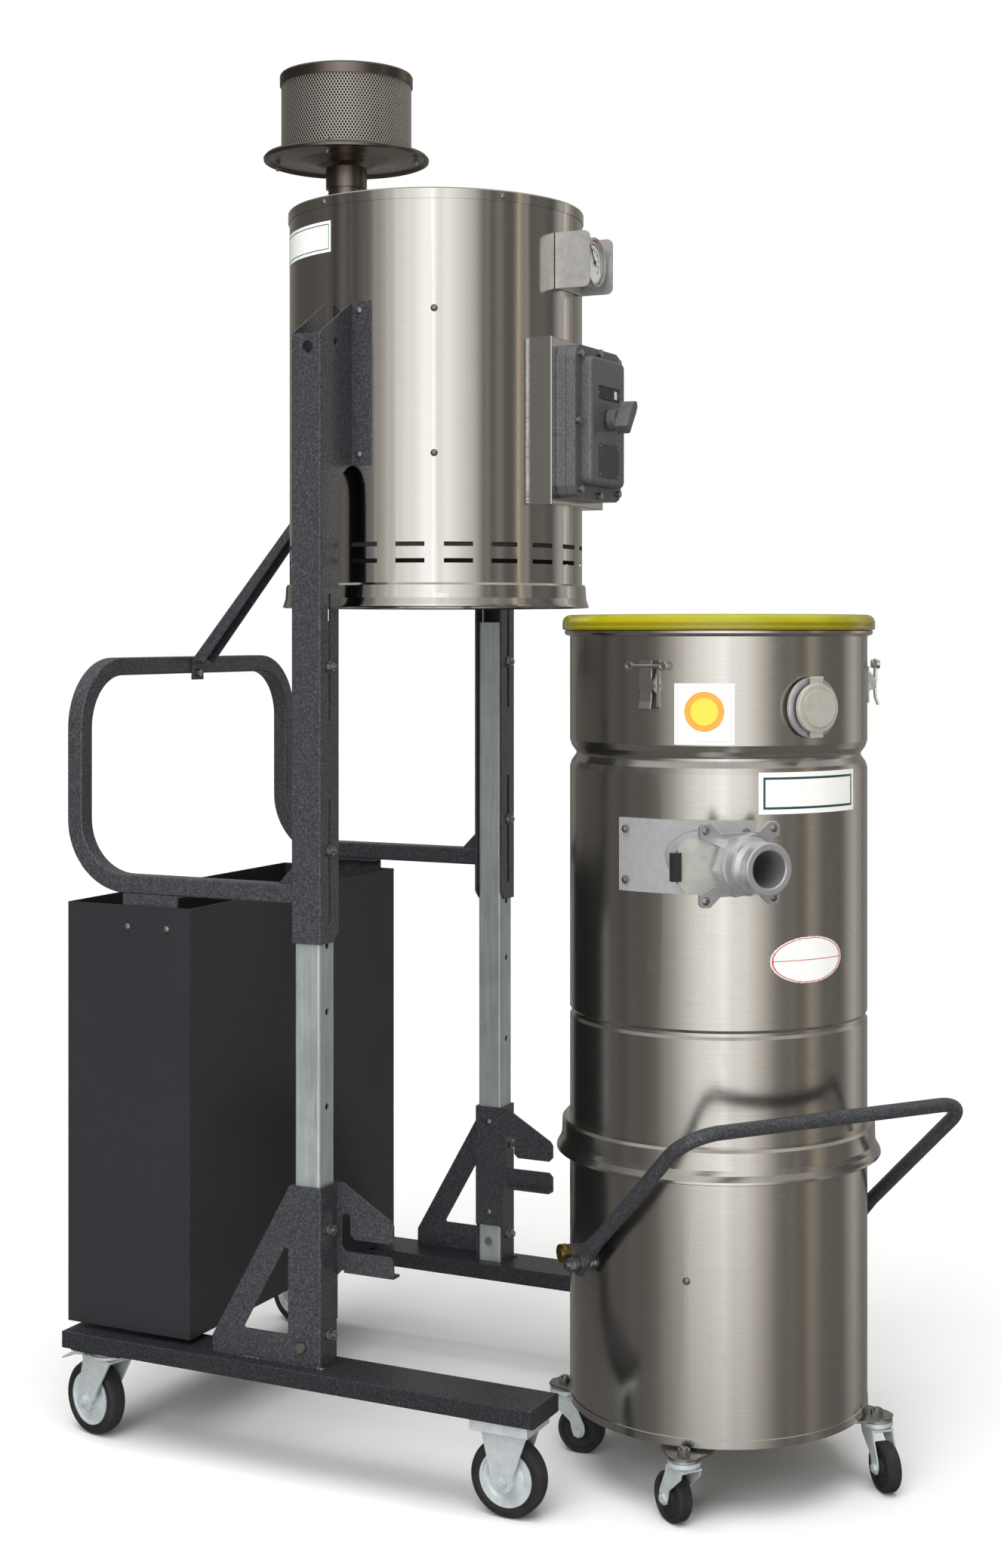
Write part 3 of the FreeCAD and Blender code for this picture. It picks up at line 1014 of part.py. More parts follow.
# small screws of the tank
ts = [dome_screw(tank_x + 196.1 * bca, Q(196.1 * bsa), Q(301.0), (bca, bsa, 0), 2.5, 6.0, head=4.8, height=2.8)]
for a, dz in sad_screws:
    c, s = math.cos(math.radians(a)), math.sin(math.radians(a))
    sx, sy = tank_x + (199.7 * c), Q(199.7 * s)
    ts.append(fuse([cyl(sx - 2.0 * c, sy - 2.0 * s, inlet_z + dz, (c, s, 0), 3.0, 8.0),
                    hexagon(sx + 0.1 * c, sy + 0.1 * s, inlet_z + dz, (c, s, 0), 9.0, 4.0),
                    dome_screw(sx + 4.0 * c, sy + 4.0 * s, inlet_z + dz, (c, s, 0), 2.0, 2.0, head=4.0, height=3.4)]))
for p, q in ears:
    x, y = ipos(246.6, p)
    ts.append(dome_screw(x, y, inlet_z + q, (idir[0], idir[1], 0), 2.5, 10.0, head=5.2, height=2.6))
ts_can = ts[1:]
node("canister_fittings", group(lat_bases + ts_can))

# bail: round tube U, a flat bracket with a pivot stud and a roller at each end
el = 40.0
bdir = (math.cos(math.radians(pv - 90)), math.sin(math.radians(pv - 90)))
e3 = (bdir[0] * math.cos(math.radians(el)), bdir[1] * math.cos(math.radians(el)), math.sin(math.radians(el)))
piv = Vector(tank_x.v, 0, bail_pivot_z.v)


def bpt(s, d):
    return (piv.x + pa[0] * s + e3[0] * d, piv.y + pa[1] * s + e3[1] * d, piv.z + e3[2] * d)


H, L = bail_half.v, bail_length.v
bw = tube_path([bpt(-H, 46.0), bpt(-H, L), bpt(H, L), bpt(H, 46.0)], [48.0, 48.0])
circ = Part.Wire([Part.Circle(Vector(*bpt(-H, 46.0)), Vector(*e3), bail_tube.v).toShape()])
inner_c = Part.Wire([Part.Circle(Vector(*bpt(-H, 46.0)), Vector(*e3), bail_tube.v - 1.8).toShape()])
bail_tube_f = feature(swept(bw, circ, inner_c))
# bracket frame: local X along the leg, local Y along the pivot axis, local Z normal to the leg
nrm = Vector(pa[0], pa[1], 0)
ex_ = Vector(*e3)
ez_ = ex_.cross(nrm)
m = FreeCAD.Matrix(ex_.x, nrm.x, ez_.x, 0, ex_.y, nrm.y, ez_.y, 0, ex_.z, nrm.z, ez_.z, 0, 0, 0, 0, 1)
brot = Placement(m).Rotation
brk = []
for s in (-1, 1):
    b = Bod(tank_x, 0, bail_pivot_z, brot)
    yq0, yq1 = (s * H - 2.5, s * H + 2.5)
    b.pad("XZ", [[(-12.0, -9.0), (-4.0, -16.0), (10.0, -14.0), (70.0, -9.0), (70.0, 9.0), (30.0, 14.0), (-14.0, 34.0), (-24.0, 32.0), (-28.0, 24.0), (-24.0, 14.0)]], yq0, yq1)
    b.pocket("XZ", [("circle", 0.0, 0.0, 5.05)], yq0 - 2, yq1 + 2)
    b.pocket("XZ", [("circle", -18.0, 24.0, 3.4)], yq0 - 2, yq1 + 2)
    brk.append(b.b)
bail = fuse([bail_tube_f] + brk)
node("bail_handle", bail)
rollers = []
pins = []
for s in (-1, 1):
    v = brot.multVec(Vector(-18.0, 0, 24.0))
    c = (tank_x + v.x, Q(v.y), bail_pivot_z + v.z)
    d = (s * pa[0], s * pa[1], 0)
    st_ = H + 2.7
    rollers.append(fuse([cyl(c[0] + st_ * d[0], c[1] + st_ * d[1], c[2], d, 12.0, 7.5), cyl(c[0] + st_ * d[0] + 7 * d[0], c[1] + st_ * d[1] + 7 * d[1], c[2], d, 7.5, 2.5),
                         cyl(c[0] + (st_ - 7.5) * d[0], c[1] + (st_ - 7.5) * d[1], c[2], d, 3.2, 8.5)]))
    p = fuse([cyl(tank_x + 190.0 * d[0], Q(190.0 * d[1]), bail_pivot_z, d, 5.0, 42.0),
              hexagon(tank_x + 222.0 * d[0], Q(222.0 * d[1]), bail_pivot_z, d, 15.0, 6.5),
              cyl(tank_x + 215.2 * d[0], Q(215.2 * d[1]), bail_pivot_z, d, 9.5, 7.0),
              cyl(tank_x + 196.3 * d[0], Q(196.3 * d[1]), bail_pivot_z, d, 10.0, 12.5)])
    cutter = cyl(tank_x, 0, bail_pivot_z - 30, PZ, T + 0.15, 60.0)
    keep = cyl(tank_x + 188.0 * d[0], Q(188.0 * d[1]), bail_pivot_z, d, 5.0, 12.0)
    pins.append(fuse([cut(p, [cutter]), keep]))
node("bail_rollers", group(rollers))


# small swivel casters under the bin
def small_caster(tag, az, trail_az, mounts_out):
    kx = tank_x + caster_ring.v * math.cos(math.radians(az))
    ky = Q(caster_ring.v * math.sin(math.radians(az)))
    rot = yaw(trail_az)
    f = Bod(kx, ky, 0, rot)
    hw = small_wheel_width / 2
    t = small_trail.v
    out = [(-17.0, 76.0), (18.0, 76.0), (20.0, 66.0), (t + 8.5, 40.0), (t + 9.0, 31.5), (t + 6.4, 25.1), (t, 22.5), (t - 6.4, 25.1), (t - 9.0, 31.5), (t - 12.0, 44.0), (-14.0, 66.0)]
    f.pad("XZ", [out], -hw - 4.5, -hw - 2.5)
    f.pad("XZ", [out], hw + 2.5, hw + 4.5)
    f.pad("XY", [rect(-17.0, 18.0, -hw - 4.5, hw + 4.5)], 73.5, 76.2)
    f.pad("XY", [("circle", 0.0, 0.0, 17.0)], 76.0, 79.0)
    f.pad("XY", [("circle", 0.0, 0.0, 20.5)], 79.0, 84.0)
    f.pad("XY", [("circle", 0.0, 0.0, 16.0)], 84.0, 87.6)
    v = rot.multVec(Vector(t, -hw.v - 8.0, 0))
    axl = cyl(kx + v.x, ky + v.y, small_wheel_radius, tuple(rot.multVec(Vector(0, 1, 0))), 4.0, hw * 2 + 16.0)
    hx_ = []
    for s in (-1, 1):
        v = rot.multVec(Vector(t, s * (hw.v + 4.5), 0))
        hx_.append(hexagon(kx + v.x, ky + v.y, small_wheel_radius, tuple(rot.multVec(Vector(0, s, 0))), 10.0, 3.5))
    node("tank_fork_" + tag, fuse([f.b, axl] + hx_))
    v = rot.multVec(Vector(t, 0, 0))
    w = Bod(kx + v.x, ky + v.y, small_wheel_radius, rot.multiply(Rotation(Vector(1, 0, 0), 90)))
    Rw = small_wheel_radius
    w.turn([(Q(4.06), -hw), (Q(11.0), -hw), (Q(12.5), -hw + 3), (Rw - 8, -hw + 4), (Rw - 6, -hw + 1), (Rw - 2.5, -hw + 1), (Rw, -hw + 4), (Rw, hw - 4), (Rw - 2.5, hw - 1),
            (Rw - 6, hw - 1), (Rw - 8, hw - 4), (Q(12.5), hw - 3), (Q(11.0), hw), (Q(4.06), hw)])
    node("tank_wheel_" + tag, w)
    ra = yaw(az)
    pl = Bod(tank_x, 0, 0, ra)
    pl.pad("XY", [[(Q(160.0), Q(-34.0)), (Q(190.0), Q(-34.0)), (Q(222.0), Q(-17.0)), (Q(230.0), Q(-8.0)), (Q(230.0), Q(8.0)), (Q(222.0), Q(17.0)), (Q(190.0), Q(34.0)), (Q(160.0), Q(34.0))]],
           88.0, 91.0)
    mounts_out.append(fuse([pl.b, hexagon(kx, ky, Q(90.9), PZ, 15.0, 6.5), cyl(kx, ky, 90.0, PZ, 5.0, 9.5)]))
    mounts_out.append(box(tank_x + 172 * math.cos(math.radians(az)) - 8, tank_x + 172 * math.cos(math.radians(az)) + 8,
                          Q(172 * math.sin(math.radians(az)) - 8), Q(172 * math.sin(math.radians(az)) + 8), Q(91.1), bin_bottom + 1.9))


cm = []
small_caster("near", 279.0, 145.0, cm)
small_caster("front", 9.0, 312.0, cm)
small_caster("far", 99.0, 180.0, cm)
small_caster("rear", 189.0, 5.0, cm)
cmg = []
for k in range(0, len(cm), 2):
    cmg.append(fuse([cm[k], cm[k + 1]]))
node("bin_fittings", group([ts[0]] + pins + cmg))

# ======================================================================================
doc.recompute()
bad = [(o.Name, o.Label, list(o.State)) for o in doc.Objects if "Invalid" in o.State or "Error" in o.State]
if bad:
    raise SystemExit("failed objects: %s" % bad[:12])
os.makedirs("parts", exist_ok=True)
if len(nodes) > 60:
    raise SystemExit("too many nodes: %d" % len(nodes))
box_all = None
for o in nodes:
    s = o.Shape
    if s.isNull() or not s.isValid() or not s.Solids:
        raise SystemExit("bad shape: %s null=%s valid=%s solids=%d" % (o.Label, s.isNull(), s.isValid(), len(s.Solids)))
    bb = s.BoundBox
    if box_all is None:
        box_all = FreeCAD.BoundBox(bb)
    else:
        box_all.add(bb)
for o in nodes:
    o.Shape.exportStep("parts/%s.step" % o.Label)
print("nodes", len(nodes), "box", [round(v, 3) for v in (box_all.XMin, box_all.XMax, box_all.YMin, box_all.YMax, box_all.ZMin, box_all.ZMax)])
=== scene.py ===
import bpy, bmesh, math, random
from mathutils import Vector, Matrix, Euler

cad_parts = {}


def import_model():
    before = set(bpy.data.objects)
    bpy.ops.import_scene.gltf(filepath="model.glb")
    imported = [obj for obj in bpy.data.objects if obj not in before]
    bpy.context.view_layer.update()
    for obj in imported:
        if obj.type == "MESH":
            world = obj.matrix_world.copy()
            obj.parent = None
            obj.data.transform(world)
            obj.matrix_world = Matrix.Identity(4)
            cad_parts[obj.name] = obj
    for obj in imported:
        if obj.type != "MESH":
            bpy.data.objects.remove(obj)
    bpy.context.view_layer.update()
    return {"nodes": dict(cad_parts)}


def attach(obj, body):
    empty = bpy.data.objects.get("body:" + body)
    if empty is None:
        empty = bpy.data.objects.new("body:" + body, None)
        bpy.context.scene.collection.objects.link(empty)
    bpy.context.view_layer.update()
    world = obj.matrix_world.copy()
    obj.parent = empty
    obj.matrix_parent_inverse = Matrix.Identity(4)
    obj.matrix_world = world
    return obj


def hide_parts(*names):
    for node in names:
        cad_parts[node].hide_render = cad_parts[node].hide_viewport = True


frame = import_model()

# design frame -> row frame, metres
SX, SY = 0.1486, 0.005647
NODES = frame["nodes"]


def P(x, y, z):
    return Vector((x / 1000 + SX, y / 1000 + SY, z / 1000))


def azdir(deg):
    a = math.radians(deg)
    return Vector((math.cos(a), math.sin(a), 0))


HEAD = P(-295, 0, 0)
TANK = P(127, 0, 0)
EXH = P(-441, 0, 0)

# ------------------------------------------------------------------ materials
def new_mat(name):
    m = bpy.data.materials.new(name)
    m.use_nodes = True
    nt = m.node_tree
    nt.nodes.clear()
    out = nt.nodes.new("ShaderNodeOutputMaterial")
    b = nt.nodes.new("ShaderNodeBsdfPrincipled")
    nt.links.new(b.outputs[0], out.inputs[0])
    return m, nt, b


def N(nt, kind, **k):
    n = nt.nodes.new(kind)
    for a, v in k.items():
        if a.startswith("in_"):
            key = a[3:]
            key = int(key) if key.isdigit() else key.replace("_", " ")
            n.inputs[key].default_value = v
        else:
            setattr(n, a, v)
    return n


def coords(nt, scale=(1, 1, 1), loc=(0, 0, 0)):
    tc = N(nt, "ShaderNodeTexCoord")
    mp = N(nt, "ShaderNodeMapping")
    mp.inputs["Scale"].default_value = scale
    mp.inputs["Location"].default_value = loc
    nt.links.new(tc.outputs["Object"], mp.inputs[0])
    return mp.outputs[0]


def noise(nt, vec, scale, detail=4.0, rough=0.55, dist=0.0):
    n = N(nt, "ShaderNodeTexNoise")
    n.inputs["Scale"].default_value = scale
    n.inputs["Detail"].default_value = detail
    n.inputs["Roughness"].default_value = rough
    n.inputs["Distortion"].default_value = dist
    nt.links.new(vec, n.inputs["Vector"])
    return n.outputs["Fac"]


def ramp(nt, fac, stops, interp="LINEAR"):
    r = N(nt, "ShaderNodeValToRGB")
    r.color_ramp.interpolation = interp
    els = r.color_ramp.elements
    while len(els) < len(stops):
        els.new(0.5)
    for e, (p, c) in zip(els, stops):
        e.position = p
        e.color = c if len(c) == 4 else (*c, 1)
    nt.links.new(fac, r.inputs[0])
    return r.outputs[0]


def rng(nt, fac, a, b, c, d):
    m = N(nt, "ShaderNodeMapRange")
    for i, v in enumerate((a, b, c, d)):
        m.inputs[i + 1].default_value = v
    nt.links.new(fac, m.inputs[0])
    return m.outputs[0]


def mth(nt, op, a, b=None, clamp=False):
    m = N(nt, "ShaderNodeMath", operation=op, use_clamp=clamp)
    for i, v in enumerate((a, b)):
        if v is None:
            continue
        if hasattr(v, "links"):
            nt.links.new(v, m.inputs[i])
        else:
            m.inputs[i].default_value = v
    return m.outputs[0]


def mix(nt, fac, a, b):
    m = N(nt, "ShaderNodeMix", data_type="RGBA")
    if hasattr(fac, "links"):
        nt.links.new(fac, m.inputs[0])
    else:
        m.inputs[0].default_value = fac
    for i, v in ((6, a), (7, b)):
        if hasattr(v, "links"):
            nt.links.new(v, m.inputs[i])
        else:
            m.inputs[i].default_value = v if len(v) == 4 else (*v, 1)
    return m.outputs[2]


def bump(nt, b, height, strength, distance, bevel=0.0):
    m = N(nt, "ShaderNodeBump")
    m.inputs["Strength"].default_value = strength
    m.inputs["Distance"].default_value = distance
    nt.links.new(height, m.inputs["Height"])
    if bevel > 0:
        bv = N(nt, "ShaderNodeBevel", samples=3)
        bv.inputs["Radius"].default_value = bevel
        nt.links.new(bv.outputs[0], m.inputs["Normal"])
    nt.links.new(m.outputs[0], b.inputs["Normal"])


def edge_wear(nt, lo=0.5, hi=0.62):
    g = N(nt, "ShaderNodeNewGeometry")
    return rng(nt, g.outputs["Pointiness"], lo, hi, 0.0, 1.0)


def hammertone(name, base, light, cell=330.0, rough=0.34):
    """Enamel that has drawn itself into a soft skin of raised beads with darker valleys between them."""
    m, nt, b = new_mat(name)
    v = coords(nt)
    n1 = noise(nt, v, cell, 2.2, 0.5, 0.6)
    vo = N(nt, "ShaderNodeTexVoronoi", feature="SMOOTH_F1")
    vo.inputs["Scale"].default_value = cell * 1.15
    vo.inputs["Smoothness"].default_value = 0.6
    nt.links.new(v, vo.inputs["Vector"])
    d = vo.outputs["Distance"]
    big = noise(nt, v, 9.0, 3.0, 0.5)
    t = mth(nt, "ADD", mth(nt, "MULTIPLY", n1, 1.0), mth(nt, "MULTIPLY", mth(nt, "SUBTRACT", 0.55, d), 0.45))
    mid = tuple((p + 2 * q) / 3 for p, q in zip(light, base))
    col = ramp(nt, t, [(0.36, tuple(c * 0.72 for c in base)), (0.50, base), (0.60, mid), (0.74, light)])
    col2 = mix(nt, rng(nt, big, 0.35, 0.7, 0.0, 0.3), col, tuple(c * 0.8 for c in base))
    nt.links.new(col2, b.inputs["Base Color"])
    nt.links.new(rng(nt, t, 0.35, 0.75, rough + 0.1, rough - 0.06), b.inputs["Roughness"])
    b.inputs["Metallic"].default_value = 0.2
    b.inputs["Coat Weight"].default_value = 0.3
    b.inputs["Coat Roughness"].default_value = 0.2
    bump(nt, b, t, 0.5, 0.0009, 0.0009)
    return m


def powder(name, base, rough=0.5):
    m, nt, b = new_mat(name)
    v = coords(nt)
    fine = noise(nt, v, 620.0, 3.0, 0.65)
    big = noise(nt, v, 6.0, 4.0, 0.6)
    col = mix(nt, rng(nt, fine, 0.35, 0.7, 0.0, 1.0), tuple(c * 0.75 for c in base), tuple(c * 1.6 for c in base))
    col = mix(nt, rng(nt, big, 0.4, 0.75, 0.0, 0.5), col, tuple(c * 0.8 for c in base))
    nt.links.new(col, b.inputs["Base Color"])
    nt.links.new(mth(nt, "ADD", mth(nt, "MULTIPLY", big, 0.12), rough - 0.06), b.inputs["Roughness"])
    b.inputs["Specular IOR Level"].default_value = 0.45
    bump(nt, b, fine, 0.3, 0.0005, 0.0008)
    return m


def brushed(name, base, centre, rough=(0.2, 0.34), line=1500.0, strength=0.07, seam=None, aniso=0.0, horizontal=True, mottled=0.25, bevel=0.0, warm=None):
    """Rolled stainless sheet: long fine grain round the shell, faint mill streaks and handling marks."""
    m, nt, b = new_mat(name)
    tc = N(nt, "ShaderNodeTexCoord")
    sep = N(nt, "ShaderNodeSeparateXYZ")
    nt.links.new(tc.outputs["Object"], sep.inputs[0])
    x = mth(nt, "SUBTRACT", sep.outputs[0], centre.x)
    y = mth(nt, "SUBTRACT", sep.outputs[1], centre.y)
    ang = mth(nt, "ARCTAN2", y, x)
    cmb = N(nt, "ShaderNodeCombineXYZ")
    nt.links.new(mth(nt, "MULTIPLY", mth(nt, "SINE", ang), 0.2), cmb.inputs[0])
    nt.links.new(mth(nt, "MULTIPLY", mth(nt, "COSINE", ang), 0.2), cmb.inputs[1])
    nt.links.new(sep.outputs[2], cmb.inputs[2])
    mp = N(nt, "ShaderNodeMapping")
    mp.inputs["Scale"].default_value = (9.0, 9.0, 1.0) if horizontal else (120.0, 120.0, 0.6)
    nt.links.new(cmb.outputs[0], mp.inputs[0])
    if horizontal:
        g = N(nt, "ShaderNodeMapping")
        g.inputs["Scale"].default_value = (8.0, 8.0, line)
        nt.links.new(cmb.outputs[0], g.inputs[0])
        grain = noise(nt, g.outputs[0], 1.0, 3.0, 0.7)
        g2 = N(nt, "ShaderNodeMapping")
        g2.inputs["Scale"].default_value = (30.0, 30.0, line * 0.35)
        nt.links.new(cmb.outputs[0], g2.inputs[0])
        grain2 = noise(nt, g2.outputs[0], 1.0, 2.0, 0.6)
    else:
        g = N(nt, "ShaderNodeMapping")
        g.inputs["Scale"].default_value = (line, line, 6.0)
        nt.links.new(cmb.outputs[0], g.inputs[0])
        grain = noise(nt, g.outputs[0], 1.0, 3.0, 0.7)
        grain2 = grain
    v = coords(nt)
    big = noise(nt, v, 3.2, 4.0, 0.55)
    # vertical mill streaks
    st = N(nt, "ShaderNodeMapping")
    st.inputs["Scale"].default_value = (55.0, 55.0, 0.35)
    nt.links.new(cmb.outputs[0], st.inputs[0])
    streak = noise(nt, st.outputs[0], 1.0, 4.0, 0.6)
    w = warm if warm else tuple(c * f for c, f in zip(base, (0.97, 0.93, 0.86)))
    col = mix(nt, rng(nt, streak, 0.35, 0.65, 0.0, 1.0), base, w)
    col = mix(nt, rng(nt, grain2, 0.25, 0.75, 0.0, 0.16), col, tuple(c * 0.72 for c in base))
    col = mix(nt, rng(nt, big, 0.35, 0.75, 0.0, mottled), col, tuple(c * 0.8 for c in base))
    # fingerprints and dull spots
    spot = noise(nt, v, 38.0, 5.0, 0.65)
    nt.links.new(col, b.inputs["Base Color"])
    r = mth(nt, "ADD", rng(nt, grain, 0.2, 0.8, rough[0], rough[1]), rng(nt, spot, 0.55, 0.8, 0.0, 0.07))
    nt.links.new(r, b.inputs["Roughness"])
    b.inputs["Metallic"].default_value = 1.0
    h = mth(nt, "ADD", grain, mth(nt, "MULTIPLY", grain2, 0.4))
    bump(nt, b, h, strength, 0.0004, bevel)
    return m


def metal(name, base, rough, var=0.12, scale=60.0, bmp=0.08, bscale=500.0, bevel=0.0007, dark=0.75, metallic=1.0):
    m, nt, b = new_mat(name)
    v = coords(nt)
    big = noise(nt, v, scale, 5.0, 0.6)
    fine = noise(nt, v, bscale, 3.0, 0.6)
    col = mix(nt, rng(nt, big, 0.35, 0.7, 0.0, 1.0), base, tuple(c * dark for c in base))
    nt.links.new(col, b.inputs["Base Color"])
    nt.links.new(mth(nt, "ADD", rng(nt, big, 0.3, 0.7, rough, rough + var), mth(nt, "MULTIPLY", fine, 0.05)), b.inputs["Roughness"])
    b.inputs["Metallic"].default_value = metallic
    bump(nt, b, fine, bmp, 0.0003, bevel)
    return m


def galvanised(name):
    m, nt, b = new_mat(name)
    v = coords(nt, (1, 1, 0.45))
    vo = N(nt, "ShaderNodeTexVoronoi", feature="F1")
    vo.inputs["Scale"].default_value = 120.0
    nt.links.new(v, vo.inputs["Vector"])
    sepc = N(nt, "ShaderNodeSeparateColor")
    nt.links.new(vo.outputs["Color"], sepc.inputs[0])
    spang = sepc.outputs[0]
    v2 = coords(nt, (1, 1, 0.04))
    streak = noise(nt, v2, 170.0, 4.0, 0.6)
    v3 = coords(nt)
    big = noise(nt, v3, 16.0, 4.0, 0.6)
    col = mix(nt, rng(nt, streak, 0.3, 0.7, 0.0, 1.0), (0.60, 0.66, 0.665), (0.44, 0.49, 0.49))
    col = mix(nt, mth(nt, "MULTIPLY", spang, 0.22), col, (0.66, 0.70, 0.70))
    col = mix(nt, rng(nt, big, 0.45, 0.75, 0.0, 0.35), col, (0.27, 0.295, 0.29))
    nt.links.new(col, b.inputs["Base Color"])
    nt.links.new(mth(nt, "ADD", mth(nt, "MULTIPLY", spang, 0.12), 0.36), b.inputs["Roughness"])
    b.inputs["Metallic"].default_value = 0.7
    bump(nt, b, streak, 0.08, 0.0004, 0.0008)
    return m


def rubber(name, base=(0.018, 0.018, 0.019), rough=0.62, spec=0.35):
    m, nt, b = new_mat(name)
    v = coords(nt)
    fine = noise(nt, v, 700.0, 3.0, 0.6)
    big = noise(nt, v, 28.0, 4.0, 0.6)
    col = mix(nt, rng(nt, big, 0.5, 0.8, 0.0, 0.7), base, (0.055, 0.052, 0.048))
    nt.links.new(col, b.inputs["Base Color"])
    nt.links.new(rng(nt, big, 0.3, 0.7, rough - 0.1, rough + 0.12), b.inputs["Roughness"])
    b.inputs["Specular IOR Level"].default_value = spec
    bump(nt, b, fine, 0.15, 0.0004, 0.0006)
    return m


def wheel_mat(name, centre, axis, r_rim, r_tyre, rim_col=(0.72, 0.78, 0.80)):
    """Rubber outside the rim radius, bright zinc inside it, dust near the tread edge."""
    m, nt, b = new_mat(name)
    tc = N(nt, "ShaderNodeTexCoord")
    sub = N(nt, "ShaderNodeVectorMath", operation="SUBTRACT")
    nt.links.new(tc.outputs["Object"], sub.inputs[0])
    sub.inputs[1].default_value = centre
    dot = N(nt, "ShaderNodeVectorMath", operation="DOT_PRODUCT")
    nt.links.new(sub.outputs[0], dot.inputs[0])
    dot.inputs[1].default_value = axis
    ln = N(nt, "ShaderNodeVectorMath", operation="LENGTH")
    nt.links.new(sub.outputs[0], ln.inputs[0])
    r2 = mth(nt, "SUBTRACT", mth(nt, "MULTIPLY", ln.outputs["Value"], ln.outputs["Value"]), mth(nt, "MULTIPLY", dot.outputs["Value"], dot.outputs["Value"]))
    rad = mth(nt, "SQRT", mth(nt, "MAXIMUM", r2, 0.0))
    is_tyre = mth(nt, "GREATER_THAN", rad, r_rim)
    v = coords(nt)
    fine = noise(nt, v, 700.0, 3.0)
    big = noise(nt, v, 40.0, 4.0, 0.6)
    rub = mix(nt, rng(nt, big, 0.45, 0.8, 0.0, 0.8), (0.012, 0.012, 0.013), (0.026, 0.025, 0.024))
    wear = rng(nt, rad, r_tyre - 0.006, r_tyre, 0.0, 0.55)
    rub = mix(nt, wear, rub, (0.03, 0.029, 0.028))
    zn = mix(nt, rng(nt, big, 0.3, 0.7, 0.0, 1.0), rim_col, tuple(c * 0.72 for c in rim_col))
    ring = mth(nt, "SINE", mth(nt, "MULTIPLY", rad, 2100.0))
    nt.links.new(mix(nt, is_tyre, zn, rub), b.inputs["Base Color"])
    nt.links.new(mth(nt, "MULTIPLY", mth(nt, "SUBTRACT", 1.0, is_tyre), 0.45), b.inputs["Metallic"])
    nt.links.new(mth(nt, "ADD", mth(nt, "MULTIPLY", is_tyre, 0.3), rng(nt, big, 0.3, 0.7, 0.28, 0.38)), b.inputs["Roughness"])
    hgt = mth(nt, "ADD", fine, mth(nt, "MULTIPLY", ring, 0.5))
    bump(nt, b, hgt, 0.12, 0.0004, 0.0006)
    return m


def gasket_mat(name):
    m, nt, b = new_mat(name)
    v = coords(nt)
    big = noise(nt, v, 14.0, 4.0, 0.6)
    sep = N(nt, "ShaderNodeSeparateXYZ")
    nt.links.new(v, sep.inputs[0])
    # Colour by height across the gasket: painted shade, darker at the lower edge and in a band a third of the way up,
    # lighter towards the top.
    z = rng(nt, sep.outputs[2], 1.110, 1.130, 0.0, 1.0)
    painted_shade_bands = ramp(nt, z, [(0.0, (0.15, 0.11, 0.002)), (0.22, (0.27, 0.235, 0.004)), (0.38, (0.16, 0.13, 0.002)), (0.5, (0.30, 0.27, 0.005)), (0.85, (0.36, 0.34, 0.008)), (1.0, (0.33, 0.33, 0.01))])
    col = mix(nt, rng(nt, big, 0.3, 0.7, 0.0, 0.45), painted_shade_bands, (0.21, 0.185, 0.003))
    nt.links.new(col, b.inputs["Base Color"])
    b.inputs["Roughness"].default_value = 0.16
    b.inputs["Subsurface Weight"].default_value = 0.12
    b.inputs["Subsurface Radius"].default_value = (0.02, 0.015, 0.002)
    b.inputs["Coat Weight"].default_value = 0.5
    b.inputs["Coat Roughness"].default_value = 0.08
    bump(nt, b, big, 0.12, 0.002)
    return m


def plain(name, col, rough=0.4, metallic=0.0, coat=0.0):
    m, nt, b = new_mat(name)
    v = coords(nt)
    n = noise(nt, v, 420.0, 2.0)
    big = noise(nt, v, 30.0, 3.0)
    nt.links.new(mix(nt, rng(nt, big, 0.3, 0.7, 0.0, 0.25), col, tuple(c * 0.82 for c in col)), b.inputs["Base Color"])
    nt.links.new(rng(nt, n, 0.3, 0.7, rough - 0.04, rough + 0.05), b.inputs["Roughness"])
    b.inputs["Metallic"].default_value = metallic
    b.inputs["Coat Weight"].default_value = coat
    bump(nt, b, n, 0.05, 0.0002)
    return m


GREY = hammertone("grey_hammertone", (0.040, 0.042, 0.048), (0.080, 0.083, 0.093), cell=330.0)
# Darker copy of the grey hammertone with slightly finer beads: painted shade for the base rails, which carry the same
# paint as the brackets.
GREY_RAILS_SHADED = hammertone("grey_hammertone_rails_painted_shade", (0.019, 0.020, 0.024), (0.044, 0.046, 0.052), cell=380.0, rough=0.36)
BOXP = powder("box_powder_coat", (0.018, 0.019, 0.022), 0.40)
CASTG = hammertone("casting_grey", (0.096, 0.098, 0.105), (0.138, 0.141, 0.150), cell=520.0, rough=0.36)
STEEL_HEAD = brushed("stainless_head", (0.75, 0.74, 0.72), HEAD, rough=(0.075, 0.14), strength=0.03, mottled=0.12)
STEEL_TANK = brushed("stainless_tank", (0.73, 0.715, 0.69), TANK, rough=(0.16, 0.26), line=1100.0, strength=0.05, mottled=0.15)
STEEL_SMALL = metal("stainless_small", (0.78, 0.77, 0.75), 0.16, bevel=0.0006)
STEEL_GUARD = metal("stainless_guard", (0.66, 0.65, 0.63), 0.33, bevel=0.0006, metallic=0.75)
STEEL_DARK = brushed("stainless_exhaust", (0.23, 0.20, 0.18), EXH, rough=(0.2, 0.34), strength=0.05)
STEEL_MESH = brushed("stainless_mesh", (0.74, 0.71, 0.68), EXH, rough=(0.16, 0.26), strength=0.03)
ZINC = metal("bright_zinc", (0.70, 0.755, 0.775), 0.34, var=0.14, scale=90.0, dark=0.8, metallic=0.55)
ZINC_SMALL = metal("bolt_zinc", (0.55, 0.56, 0.54), 0.3, var=0.14, scale=160.0, dark=0.6)
GALV = galvanised("galvanised_tube")
CAST_AL = metal("cast_aluminium", (0.46, 0.46, 0.47), 0.42, var=0.12, scale=110.0, bmp=0.3, bscale=900.0, dark=0.86, metallic=0.5)
